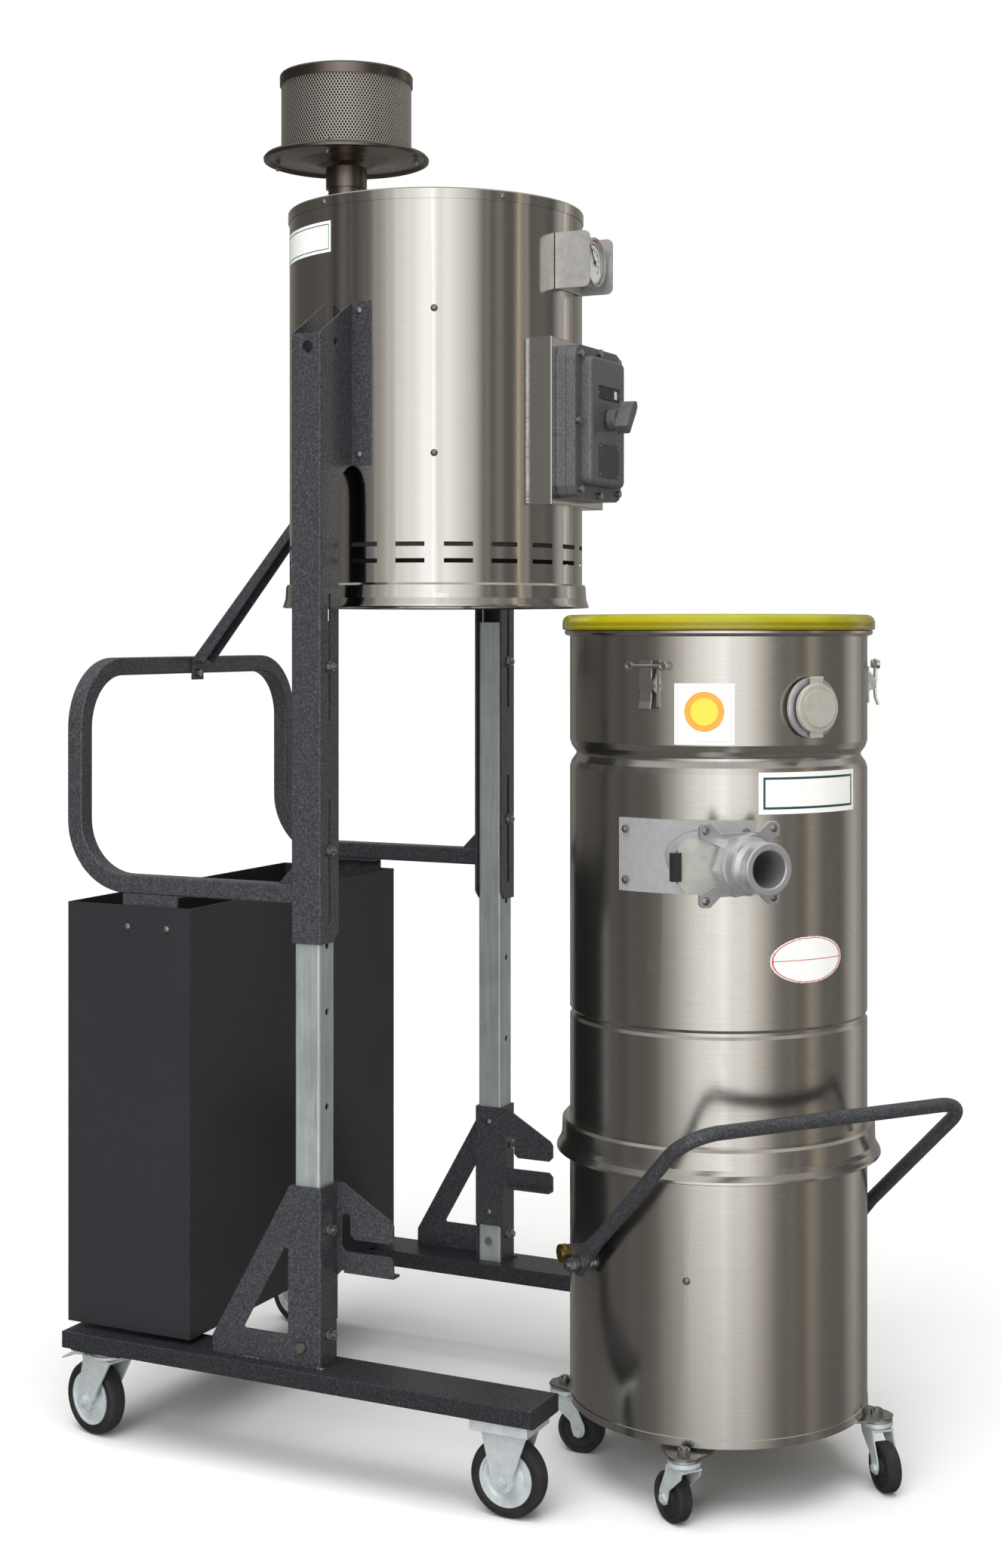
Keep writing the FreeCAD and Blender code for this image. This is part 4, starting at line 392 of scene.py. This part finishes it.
MACH_AL = metal("machined_aluminium", (0.66, 0.66, 0.68), 0.24, var=0.1, scale=50.0, bmp=0.06, bscale=1500.0, dark=0.88, metallic=0.8)
SATIN_LID = metal("satin_lid", (0.50, 0.48, 0.43), 0.42, var=0.1, scale=80.0, bmp=0.1, bscale=900.0, dark=0.86, metallic=0.35)
BRASS = metal("brass", (0.66, 0.47, 0.15), 0.24, var=0.14, scale=140.0, dark=0.62)
RUBBER = rubber("black_rubber")
BLACK = plain("black_plastic", (0.016, 0.016, 0.017), 0.38)
# Near-black sleeve material: painted shade behind the exhaust screen holes.
DARK_SLEEVE_SHADE = plain("dark_sleeve_painted_shade", (0.022, 0.021, 0.020), 0.9)
PAPER = plain("filter_paper", (0.05, 0.047, 0.043), 0.85)
YELLOW = gasket_mat("yellow_polyurethane")
WHITE = plain("label_white", (0.82, 0.83, 0.80), 0.28, coat=0.4)
GREEN = plain("label_green", (0.015, 0.14, 0.08), 0.3, coat=0.4)
TEAL = plain("label_teal", (0.012, 0.055, 0.06), 0.3, coat=0.4)
ORANGE = plain("label_orange", (0.80, 0.30, 0.03), 0.3, coat=0.4)
YELLOWL = plain("label_yellow", (0.80, 0.55, 0.04), 0.3, coat=0.4)
LRED = plain("label_red", (0.55, 0.03, 0.02), 0.3, coat=0.4)
LGREY = plain("label_grey", (0.45, 0.46, 0.45), 0.35, coat=0.3)
DIALW = plain("dial_white", (0.72, 0.72, 0.69), 0.45)
SLATE = plain("nameplate", (0.07, 0.068, 0.066), 0.4, metallic=0.4)


def gate_mat(name):
    m, nt, b = new_mat(name)
    tc = N(nt, "ShaderNodeTexCoord")
    a = math.radians(322)
    lat = (-math.sin(a), math.cos(a), 0)
    c = P(127 - 120 * lat[0], -120 * lat[1], 828)
    sub = N(nt, "ShaderNodeVectorMath", operation="SUBTRACT")
    nt.links.new(tc.outputs["Object"], sub.inputs[0])
    sub.inputs[1].default_value = c
    dot = N(nt, "ShaderNodeVectorMath", operation="DOT_PRODUCT")
    nt.links.new(sub.outputs[0], dot.inputs[0])
    dot.inputs[1].default_value = lat
    dep = N(nt, "ShaderNodeVectorMath", operation="DOT_PRODUCT")
    nt.links.new(sub.outputs[0], dep.inputs[0])
    dep.inputs[1].default_value = (math.cos(a), math.sin(a), 0)
    inner = mth(nt, "LESS_THAN", mth(nt, "ABSOLUTE", mth(nt, "SUBTRACT", dep.outputs["Value"], 0.23975)), 0.00118)
    grip = mth(nt, "LESS_THAN", dot.outputs["Value"], -0.0838)
    side = mth(nt, "LESS_THAN", dot.outputs["Value"], -0.0799)
    grip = mth(nt, "MAXIMUM", grip, mth(nt, "MULTIPLY", side, mth(nt, "SUBTRACT", 1.0, inner)))
    v = coords(nt)
    big = noise(nt, v, 26.0, 4.0, 0.6)
    fine = noise(nt, v, 700.0, 3.0)
    al = mix(nt, rng(nt, big, 0.35, 0.7, 0.0, 1.0), (0.62, 0.62, 0.58), (0.44, 0.44, 0.41))
    nt.links.new(mix(nt, grip, al, (0.02, 0.02, 0.021)), b.inputs["Base Color"])
    nt.links.new(mth(nt, "MULTIPLY", mth(nt, "SUBTRACT", 1.0, grip), 0.5), b.inputs["Metallic"])
    nt.links.new(rng(nt, big, 0.3, 0.7, 0.36, 0.5), b.inputs["Roughness"])
    bump(nt, b, fine, 0.12, 0.0003, 0.0006)
    return m


def assign(node, mat):
    ob = NODES[node]
    if not ob.material_slots:
        ob.data.materials.append(mat)
    for s in ob.material_slots:
        s.material = mat


table = {
    GREY: ["base_brackets", "hook_plates", "lift_channels", "push_handle", "handle_brace", "bail_handle"],
    # base frame takes the darker copy of the grey hammertone: painted shade
    GREY_RAILS_SHADED: ["base_frame"],
    BLACK: ["rail_end_caps", "gauge_needle"],
    BOXP: ["storage_box"],
    GALV: ["column_tubes", "motor_deck"],
    ZINC: ["front_forks", "rear_fork_right", "rear_fork_left", "brake_pedal_right", "brake_pedal_left", "tank_fork_near", "tank_fork_front", "tank_fork_far", "tank_fork_rear"],
    ZINC_SMALL: ["gantry_bolts", "lift_screws", "canister_fittings", "bin_fittings"],
    STEEL_HEAD: ["head_drum", "head_lid"],
    STEEL_TANK: ["bin_shell", "canister_shell"],
    STEEL_DARK: ["exhaust_dish", "exhaust_screen", "exhaust_cap"],
    STEEL_SMALL: ["gauge_case", "latch_lever_near", "latch_lever_front", "latch_lever_far"],
    SATIN_LID: ["port_cap"],
    STEEL_GUARD: ["gauge_guard"],
    CASTG: ["switch_housing", "switch_cover", "switch_knob", "motor"],
    CAST_AL: ["inlet_saddle", "inlet_pipe", "fan_wheel"],
    MACH_AL: ["inlet_coupling"],
    gate_mat("gate_plate"): ["gate_blade"],
    RUBBER: ["bin_gasket", "tank_wheel_near", "tank_wheel_front", "tank_wheel_far", "tank_wheel_rear"],
    PAPER: ["exhaust_filter", "main_filter"],
    YELLOW: ["tank_gasket"],
    BRASS: ["bail_rollers"],
}
for mat, names in table.items():
    for n in names:
        assign(n, mat)

yc = 267.75
c165, s165 = math.cos(math.radians(165)), math.sin(math.radians(165))
for side, s in (("right", -1), ("left", 1)):
    assign("front_wheel_" + side, wheel_mat("front_wheel_mat_" + side, P(-50.5, s * yc, 50), (0, 1, 0), 0.0362, 0.05))
    assign("rear_wheel_" + side, wheel_mat("rear_wheel_mat_" + side, P(-662 + 28 * c165, s * yc + 28 * s165, 50), (-s165, c165, 0), 0.0362, 0.05))

# ------------------------------------------------------------------ mesh helpers
def obj(name, me, mats):
    o = bpy.data.objects.new(name, me)
    bpy.context.scene.collection.objects.link(o)
    for m in (mats if isinstance(mats, (list, tuple)) else [mats]):
        me.materials.append(m)
    return o


def from_bm(name, bm, mats, smooth=True, angle=35):
    me = bpy.data.meshes.new(name)
    bmesh.ops.recalc_face_normals(bm, faces=bm.faces)
    bm.to_mesh(me)
    bm.free()
    o = obj(name, me, mats)
    if smooth:
        for p in me.polygons:
            p.use_smooth = True
        me.set_sharp_from_angle(angle=math.radians(angle))
    return o


def curved_label(name, centre, radius, az, z, width, height, mats, paint, thick=0.0004, nu=40, nv=20, body="canister"):
    """A thin sticker bent round a shell. paint(u, v) -> material index, u and v in mm from the middle."""
    bm = bmesh.new()
    grid = []
    for j in range(nv + 1):
        row = []
        for i in range(nu + 1):
            u = (i / nu - 0.5) * width
            v = (j / nv - 0.5) * height
            a = math.radians(az) + u / radius
            r = radius / 1000 + thick
            row.append(bm.verts.new((centre.x + r * math.cos(a), centre.y + r * math.sin(a), (z + v) / 1000)))
        grid.append(row)
    faces = []
    for j in range(nv):
        for i in range(nu):
            u = ((i + 0.5) / nu - 0.5) * width
            v = ((j + 0.5) / nv - 0.5) * height
            k = paint(u, v)
            if k is None:
                continue
            f = bm.faces.new((grid[j][i], grid[j][i + 1], grid[j + 1][i + 1], grid[j + 1][i]))
            f.material_index = k
            faces.append(f)
    loose = [v for v in bm.verts if not v.link_faces]
    bmesh.ops.delete(bm, geom=loose, context="VERTS")
    o = from_bm(name, bm, mats)
    sol = o.modifiers.new("thick", "SOLIDIFY")
    sol.thickness = 0.0003
    sol.offset = -1
    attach(o, body)
    return o


# ------------------------------------------------------------------ perforated exhaust screen
def screen():
    R = 93.5
    z0, z1 = 1792.0, 1897.0
    ncol = 128
    pitch = 2 * math.pi * R / ncol
    nrow = 27
    dz = (z1 - z0) / (nrow + 1)
    bm = bmesh.new()
    rr = pitch * 0.31

    def pt(a, z, r=R):
        return bm.verts.new((EXH.x + r / 1000 * math.cos(a), EXH.y + r / 1000 * math.sin(a), z / 1000))

    da = 2 * math.pi / ncol
    for j in range(nrow):
        zc = z0 + dz * (j + 1)
        off = 0.5 if j % 2 else 0.0
        for i in range(ncol):
            ac = (i + off) * da
            inner, outer = [], []
            for k in range(8):
                t = 2 * math.pi * (k + 0.5) / 8
                inner.append(pt(ac + rr * math.cos(t) / R, zc + rr * math.sin(t)))
            hw, hh = da / 2, dz / 2
            for k in range(8):
                t = 2 * math.pi * (k + 0.5) / 8
                cx, cy = math.cos(t), math.sin(t)
                q = max(abs(cx), abs(cy))
                cx, cy = cx / q, cy / q
                outer.append(pt(ac + hw * cx, zc + hh * cy))
            corners = [pt(ac + hw * sx, zc + hh * sy) for sx, sy in ((1, 1), (-1, 1), (-1, -1), (1, -1))]
            for k in range(8):
                a, b = k, (k + 1) % 8
                if k in (0, 2, 4, 6):
                    bm.faces.new((inner[a], outer[a], corners[k // 2], outer[b], inner[b]))
                else:
                    bm.faces.new((inner[a], outer[a], outer[b], inner[b]))
    for za, zb in ((z0, z0 + dz / 2), (z1 - dz / 2, z1)):
        for i in range(ncol * 2):
            a0, a1 = i * da / 2, (i + 1) * da / 2
            bm.faces.new((pt(a0, za), pt(a1, za), pt(a1, zb), pt(a0, zb)))
    bmesh.ops.remove_doubles(bm, verts=bm.verts, dist=0.00004)
    o = from_bm("perforated_screen", bm, STEEL_MESH, angle=30)
    s = o.modifiers.new("thick", "SOLIDIFY")
    s.thickness = 0.0012
    s.offset = -1
    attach(o, "lift_frame")
    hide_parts("exhaust_screen")
    return o


screen()

# ------------------------------------------------------------------ labels (plain panels, no lettering)
def bordered(w, h, border, inset=0.0):
    def paint(u, v):
        if abs(u) > w / 2 - inset or abs(v) > h / 2 - inset:
            return 0
        if abs(u) > w / 2 - inset - border or abs(v) > h / 2 - inset - border:
            return 1
        return 0
    return paint


curved_label("head_label", HEAD, 206.0, 233.5, 1639.0, 150.0, 42.0, [WHITE, GREEN], bordered(150, 42, 1.6, 3.6), nu=100, nv=56, body="lift_frame")


def square_paint(u, v):
    if 33.0 < max(abs(u), abs(v)) < 34.0:
        return 2
    r = math.hypot(u, v - 3)
    if r < 17:
        return 3
    if r < 25:
        return 1
    return 0


curved_label("tank_label_square", TANK, 196.0, 285.5, 1005.5, 75.0, 76.0, [WHITE, ORANGE, LGREY, YELLOWL], square_paint, nu=150, nv=152)
curved_label("tank_label_plate", TANK, 196.0, 328.5, 907.0, 159.0, 52.0, [WHITE, TEAL], bordered(159, 52, 3.0, 6.0), nu=159, nv=104)


def oval_paint(u, v):
    q = (u / 56.0) ** 2 + (v / 29.0) ** 2
    if q > 1.0:
        return None
    if 0.86 < q < 0.93 or (abs(v) < 0.8 and q < 0.86):
        return 1
    return 0


curved_label("tank_label_oval", TANK, 196.0, 326.0, 698.0, 113.0, 59.0, [WHITE, LRED], oval_paint, nu=113, nv=59)

def drum_shade_ring():
    """A dark ring of painted shade on the inner wall of the drum, seen through its open lower end, with a rolled lower
    edge.
    """
    prof = [(204.0, 1216), (204.2, 1330), (200.0, 1330), (196.5, 1327), (196.0, 1222), (197.0, 1218), (199.5, 1215.5), (202.0, 1215)]
    bm = bmesh.new()
    n = 96
    rings = [[bm.verts.new((HEAD.x + r / 1000 * math.cos(2 * math.pi * i / n), HEAD.y + r / 1000 * math.sin(2 * math.pi * i / n), z / 1000)) for i in range(n)] for r, z in prof]
    m = len(prof)
    for k in range(m):
        for i in range(n):
            bm.faces.new((rings[k][i], rings[k][(i + 1) % n], rings[(k + 1) % m][(i + 1) % n], rings[(k + 1) % m][i]))
    o = from_bm("drum_inner_painted_shade", bm, RUBBER)
    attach(o, "lift_frame")


drum_shade_ring()

def lathe(name, centre, axis, prof, mat, body, n=96, angle=30):
    """Turned ring: prof is a closed loop of (radius, height along axis) in mm."""
    e3 = Vector(axis).normalized()
    e1 = e3.cross(Vector((0, 0, 1)))
    e1 = e1.normalized() if e1.length > 0.01 else Vector((1, 0, 0))
    e2 = e3.cross(e1)
    bm = bmesh.new()
    rings = [[bm.verts.new(centre + e3 * h / 1000 + (e1 * math.cos(2 * math.pi * i / n) + e2 * math.sin(2 * math.pi * i / n)) * r / 1000) for i in range(n)] for r, h in prof]
    m = len(prof)
    for k in range(m):
        for i in range(n):
            bm.faces.new((rings[k][i], rings[k][(i + 1) % n], rings[(k + 1) % m][(i + 1) % n], rings[(k + 1) % m][i]))
    o = from_bm(name, bm, mat, angle=angle)
    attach(o, body)
    return o


# Dark sleeve just inside the perforated screen: painted shade, so the holes read dark like the shaded inside of the
# exhaust; it also closes the view through the screen.
lathe("screen_backing_painted_shade", P(-441, 0, 0), (0, 0, 1), [(84.0, 1793.5), (88.5, 1794.0), (89.0, 1796.0), (89.0, 1893.0), (88.0, 1896.0), (84.0, 1896.0)], DARK_SLEEVE_SHADE, "lift_frame")
PORT = P(127, 0, 1013)
port_dir = azdir(326)
lathe("port_flange_face", PORT, port_dir, [(29.3, 203.55), (29.3, 204.3), (30.0, 204.6), (33.0, 204.6), (33.2, 204.35), (33.6, 204.35), (33.8, 204.6), (37.2, 204.6),
      (38.2, 204.0), (38.2, 200.0), (38.02, 200.0), (38.02, 203.55)], MACH_AL, "canister")
lathe("port_neck", PORT, port_dir, [(29.05, 204.3), (29.05, 207.9), (29.3, 207.9), (29.5, 207.2), (29.3, 206.6), (29.5, 205.8), (29.35, 204.5)], RUBBER, "canister")

# ------------------------------------------------------------------ gauge dial
def dial():
    cx, cy, cz = P(-52.6, 0, 1611)
    bm = bmesh.new()
    n = 64
    c = bm.verts.new((cx, cy, cz))
    rings = []
    for r in (19.5, 23.5, 26.0, 30.3):
        rings.append([bm.verts.new((cx, cy + r / 1000 * math.cos(2 * math.pi * i / n), cz + r / 1000 * math.sin(2 * math.pi * i / n))) for i in range(n)])
    for i in range(n):
        f = bm.faces.new((c, rings[0][i], rings[0][(i + 1) % n]))
        f.material_index = 0
        for k in range(3):
            f = bm.faces.new((rings[k][i], rings[k + 1][i], rings[k + 1][(i + 1) % n], rings[k][(i + 1) % n]))
            a = math.degrees(2 * math.pi * (i + 0.5) / n) % 360
            f.material_index = 0
            if k == 1:
                if a < 75 or a > 330:
                    f.material_index = 2
                elif a < 215:
                    f.material_index = 1
    # ticks
    for i in range(0, 27):
        a = math.radians(-45 + i * 10)
        r0, r1 = (16.5, 19.0) if i % 3 else (14.5, 19.0)
        w = 0.35 if i % 3 else 0.6
        u = Vector((0, math.cos(a), math.sin(a)))
        t = Vector((0, -math.sin(a), math.cos(a)))
        o_ = Vector((cx + 0.0002, cy, cz))
        q = [o_ + (u * r0 - t * w) / 1000, o_ + (u * r1 - t * w) / 1000, o_ + (u * r1 + t * w) / 1000, o_ + (u * r0 + t * w) / 1000]
        f = bm.faces.new([bm.verts.new(p) for p in q])
        f.material_index = 3
    o = from_bm("gauge_dial", bm, [DIALW, LRED, GREEN, BLACK])
    s = o.modifiers.new("thick", "SOLIDIFY")
    s.thickness = 0.0003
    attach(o, "lift_frame")


dial()


def strip_tube(name, pts, radius, mat, body, wobble=0.0, seed=1, segs=8, closed=False):
    rnd = random.Random(seed)
    bm = bmesh.new()
    rings = []
    n = len(pts)
    for i, p in enumerate(pts):
        a = pts[max(i - 1, 0)]
        b = pts[min(i + 1, n - 1)]
        t = (b - a).normalized()
        up = Vector((0, 0, 1)) if abs(t.z) < 0.9 else Vector((1, 0, 0))
        e1 = t.cross(up).normalized()
        e2 = t.cross(e1).normalized()
        r = radius * (1 + wobble * math.sin(i * 2.1) + wobble * rnd.uniform(-0.7, 0.7))
        rings.append([bm.verts.new(p + e1 * (r * math.cos(2 * math.pi * k / segs)) + e2 * (r * math.sin(2 * math.pi * k / segs))) for k in range(segs)])
    for i in range(n - 1):
        for k in range(segs):
            bm.faces.new((rings[i][k], rings[i + 1][k], rings[i + 1][(k + 1) % segs], rings[i][(k + 1) % segs]))
    bm.faces.new(rings[0])
    bm.faces.new(list(reversed(rings[-1])))
    o = from_bm(name, bm, mat, angle=80)
    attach(o, body)
    return o


# weld beads: switch bracket to drum, column brackets to rails
def weld(name, a, b, body, r=0.0022, step=0.0016, seed=3, mat=None):
    L = (b - a).length
    n = max(4, int(L / step))
    rnd = random.Random(seed)
    pts = [a.lerp(b, i / n) + Vector((rnd.uniform(-1, 1), rnd.uniform(-1, 1), rnd.uniform(-1, 1))) * r * 0.12 for i in range(n + 1)]
    return strip_tube(name, pts, r, mat or STEEL_SMALL, body, wobble=0.16, seed=seed)


xb = -295 + math.sqrt(206 ** 2 - 89.75 ** 2)
weld("bracket_weld_right", P(xb + 0.4, -90.0, 1279), P(xb + 0.4, -90.0, 1501), "lift_frame")
xb2 = -295 + math.sqrt(206 ** 2 - 82.25 ** 2)
weld("bracket_weld_left", P(xb2 + 0.4, 82.5, 1279), P(xb2 + 0.4, 82.5, 1501), "lift_frame", seed=5)

for k, (sx, sy) in enumerate(((-1, -1), (-1, 1))):
    yy = sy * 288.6
    weld("foot_weld_rear_%d" % k, P(-430, yy, 150.6), P(-404, yy, 150.6), "gantry", r=0.0028, seed=11 + k, mat=GREY)
    weld("foot_weld_front_%d" % k, P(-318, yy, 150.6), P(-306, yy, 150.6), "gantry", r=0.0028, seed=21 + k, mat=ZINC_SMALL)

# switch front: window, blank name plate
def slab(name, x0, x1, y0, y1, z0, z1, mat, body, bev=0.0004):
    bm = bmesh.new()
    bmesh.ops.create_cube(bm, size=1.0)
    a, b = P(x0, y0, z0), P(x1, y1, z1)
    for v in bm.verts:
        v.co = Vector(((a.x + b.x) / 2 + v.co.x * (b.x - a.x), (a.y + b.y) / 2 + v.co.y * (b.y - a.y), (a.z + b.z) / 2 + v.co.z * (b.z - a.z)))
    bmesh.ops.bevel(bm, geom=bm.edges[:], offset=bev, segments=2, affect="EDGES")
    o = from_bm(name, bm, mat)
    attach(o, body)
    return o


slab("switch_window", -31.0, -29.6, -36.5, 35.5, 1421.5, 1439.5, BLACK, "lift_frame")
slab("switch_nameplate", -29.4, -28.5, -36.0, 32.0, 1316.0, 1362.0, SLATE, "lift_frame")


def rivets(name, pts, r, mat, body):
    bm = bmesh.new()
    for x, y, z in pts:
        g = bmesh.ops.create_icosphere(bm, subdivisions=2, radius=r)
        o_ = P(x, y, z)
        for v in g["verts"]:
            v.co = Vector((o_.x + v.co.x * 0.45, o_.y + v.co.y, o_.z + v.co.z))
    o = from_bm(name, bm, mat)
    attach(o, body)
    return o


rivets("nameplate_rivets", [(-28.5, y, z) for y in (-32.4, 28.4) for z in (1319.6, 1358.4)], 0.0016, STEEL_SMALL, "lift_frame")
rivets("window_rivets", [(-29.6, y, 1430.5) for y in (-33.4, 32.6)], 0.0014, STEEL_SMALL, "lift_frame")
slab("switch_window_mark", -29.9, -29.3, 18.0, 27.0, 1425.0, 1436.0, DIALW, "lift_frame")

# ------------------------------------------------------------------ stage, lights, camera
KEY, SUN, ROOM = 90.0, 3.1, 1.0


def floor():
    bm = bmesh.new()
    s = 45.0
    vs = [bm.verts.new(p) for p in ((-s, -s, 0), (s, -s, 0), (s, s, 0), (-s, s, 0))]
    bm.faces.new(vs)
    m, nt, b = new_mat("studio_floor")
    v = coords(nt)
    n = noise(nt, v, 3.0, 4.0)
    nt.links.new(mix(nt, rng(nt, n, 0.3, 0.7, 0.0, 1.0), (0.80, 0.80, 0.80), (0.77, 0.77, 0.77)), b.inputs["Base Color"])
    b.inputs["Roughness"].default_value = 0.7
    o = from_bm("floor", bm, m, smooth=False)
    o.visible_glossy = False


floor()


def area(name, loc, target, size, energy, color=(1, 1, 1)):
    li = bpy.data.lights.new(name, "AREA")
    li.shape = "RECTANGLE"
    li.size, li.size_y = size
    li.energy = energy
    li.color = color
    o = bpy.data.objects.new(name, li)
    bpy.context.scene.collection.objects.link(o)
    o.location = loc
    o.rotation_euler = (Vector(target) - Vector(loc)).to_track_quat("-Z", "Y").to_euler()
    o.visible_glossy = False
    return o


def at_az(az, dist, z):
    d = azdir(az)
    return Vector((d.x * dist, d.y * dist, z))


area("key_softbox", at_az(272, 4.0, 2.2), (0, 0, 1.0), (2.4, 2.4), KEY)
sun = bpy.data.lights.new("overhead", "SUN")
sun.energy = SUN
sun.angle = math.radians(50)
so = bpy.data.objects.new("overhead", sun)
bpy.context.scene.collection.objects.link(so)
so.rotation_euler = (-(azdir(285) * 0.32 + Vector((0, 0, 1)))).to_track_quat("-Z", "Y").to_euler()
so.visible_glossy = False

# The room the steel reflects: one broad bright window behind the viewer, dark at both sides, with a few narrow uprights
room = [(0, 0.17), (9, 0.30), (15, 0.12), (28, 0.15), (40, 0.10), (50, 0.42), (62, 0.40), (75, 0.18), (100, 0.28),
        (130, 0.25), (160, 0.10), (182, 0.09), (205, 0.12), (214, 0.06), (221, 0.15), (229, 0.07), (246, 0.18), (255, 0.40),
        (264, 0.62), (272, 0.92), (281, 1.06), (290, 1.28), (297, 1.22), (301, 0.98), (305, 1.15), (312, 1.00), (320, 0.78),
        (328, 0.52), (334, 0.19), (342, 0.12), (348, 0.25), (353, 0.12)]
w = bpy.data.worlds.new("studio")
bpy.context.scene.world = w
w.use_nodes = True
nt = w.node_tree
nt.nodes.clear()
wo = nt.nodes.new("ShaderNodeOutputWorld")
bg = nt.nodes.new("ShaderNodeBackground")
bg2 = nt.nodes.new("ShaderNodeBackground")
ms = nt.nodes.new("ShaderNodeMixShader")
lp = nt.nodes.new("ShaderNodeLightPath")
tc = N(nt, "ShaderNodeTexCoord")
sp = N(nt, "ShaderNodeSeparateXYZ")
nt.links.new(tc.outputs["Generated"], sp.inputs[0])
az = mth(nt, "ARCTAN2", sp.outputs[1], sp.outputs[0])
az = mth(nt, "FRACT", mth(nt, "ADD", mth(nt, "DIVIDE", az, 2 * math.pi), 1.0))
stops = [(a / 360.0, tuple(v / 1.3 * c for c in (1.0, 0.94 + 0.05 * v, 0.86 + 0.11 * v))) for a, v in room]
lum = ramp(nt, az, stops, "LINEAR")
lines = [(4.7, 1.3, 0.60, (1.0, 0.82, 0.52)), (12.5, 0.8, 0.22, (1.0, 0.9, 0.7)), (58.7, 1.8, 0.45, (1.0, 0.88, 0.66)), (229.0, 0.8, 0.10, (1, 1, 1)),
         (249.5, 1.6, 0.16, (1, 1, 1)), (260.0, 1.2, 0.14, (1, 1, 1)), (267.6, 0.9, 0.40, (1, 1, 1)), (294.7, 0.9, 1.0, (0.95, 0.98, 1.0)), (338.0, 2.2, 0.10, (1.0, 0.98, 0.7))]
ls = [(0.0, (0, 0, 0))]
for a, hw, v, c in lines:
    ls += [((a - hw) / 360, (0, 0, 0)), (a / 360, tuple(v * k for k in c)), ((a + hw) / 360, (0, 0, 0))]
fine_lines = ramp(nt, az, ls, "LINEAR")
ad = N(nt, "ShaderNodeVectorMath", operation="ADD")
nt.links.new(lum, ad.inputs[0])
nt.links.new(fine_lines, ad.inputs[1])
lum = ad.outputs[0]
up = rng(nt, sp.outputs[2], 0.45, 0.85, 0.0, 1.0)
dn = rng(nt, sp.outputs[2], -0.18, -0.5, 0.0, 1.0)
c1 = mix(nt, up, lum, (0.42, 0.42, 0.41))
c2 = mix(nt, dn, c1, (0.10, 0.095, 0.09))
nt.links.new(c2, bg.inputs[0])
bg.inputs[1].default_value = 1.3 * ROOM
bg2.inputs[0].default_value = (1.0, 1.0, 1.0, 1)
bg2.inputs[1].default_value = 1.0
nt.links.new(lp.outputs["Is Camera Ray"], ms.inputs[0])
nt.links.new(bg.outputs[0], ms.inputs[1])
nt.links.new(bg2.outputs[0], ms.inputs[2])
nt.links.new(ms.outputs[0], wo.inputs[0])

cam = bpy.data.cameras.new("camera")
co = bpy.data.objects.new("camera", cam)
bpy.context.scene.collection.objects.link(co)
co.location = (1.1432 + SX, -2.4296 - 0.30575 + SY, 1.108)
co.rotation_euler = (math.radians(90), 0, math.radians(26.05))
cam.sensor_width = 36
cam.lens = 2898 / 2078 * 36
cam.shift_x = 0.0
cam.shift_y = -(1039 - 837) / 2078
cam.clip_start = 0.05
cam.clip_end = 60
bpy.context.scene.camera = co
bpy.context.scene.view_settings.view_transform = "Standard"
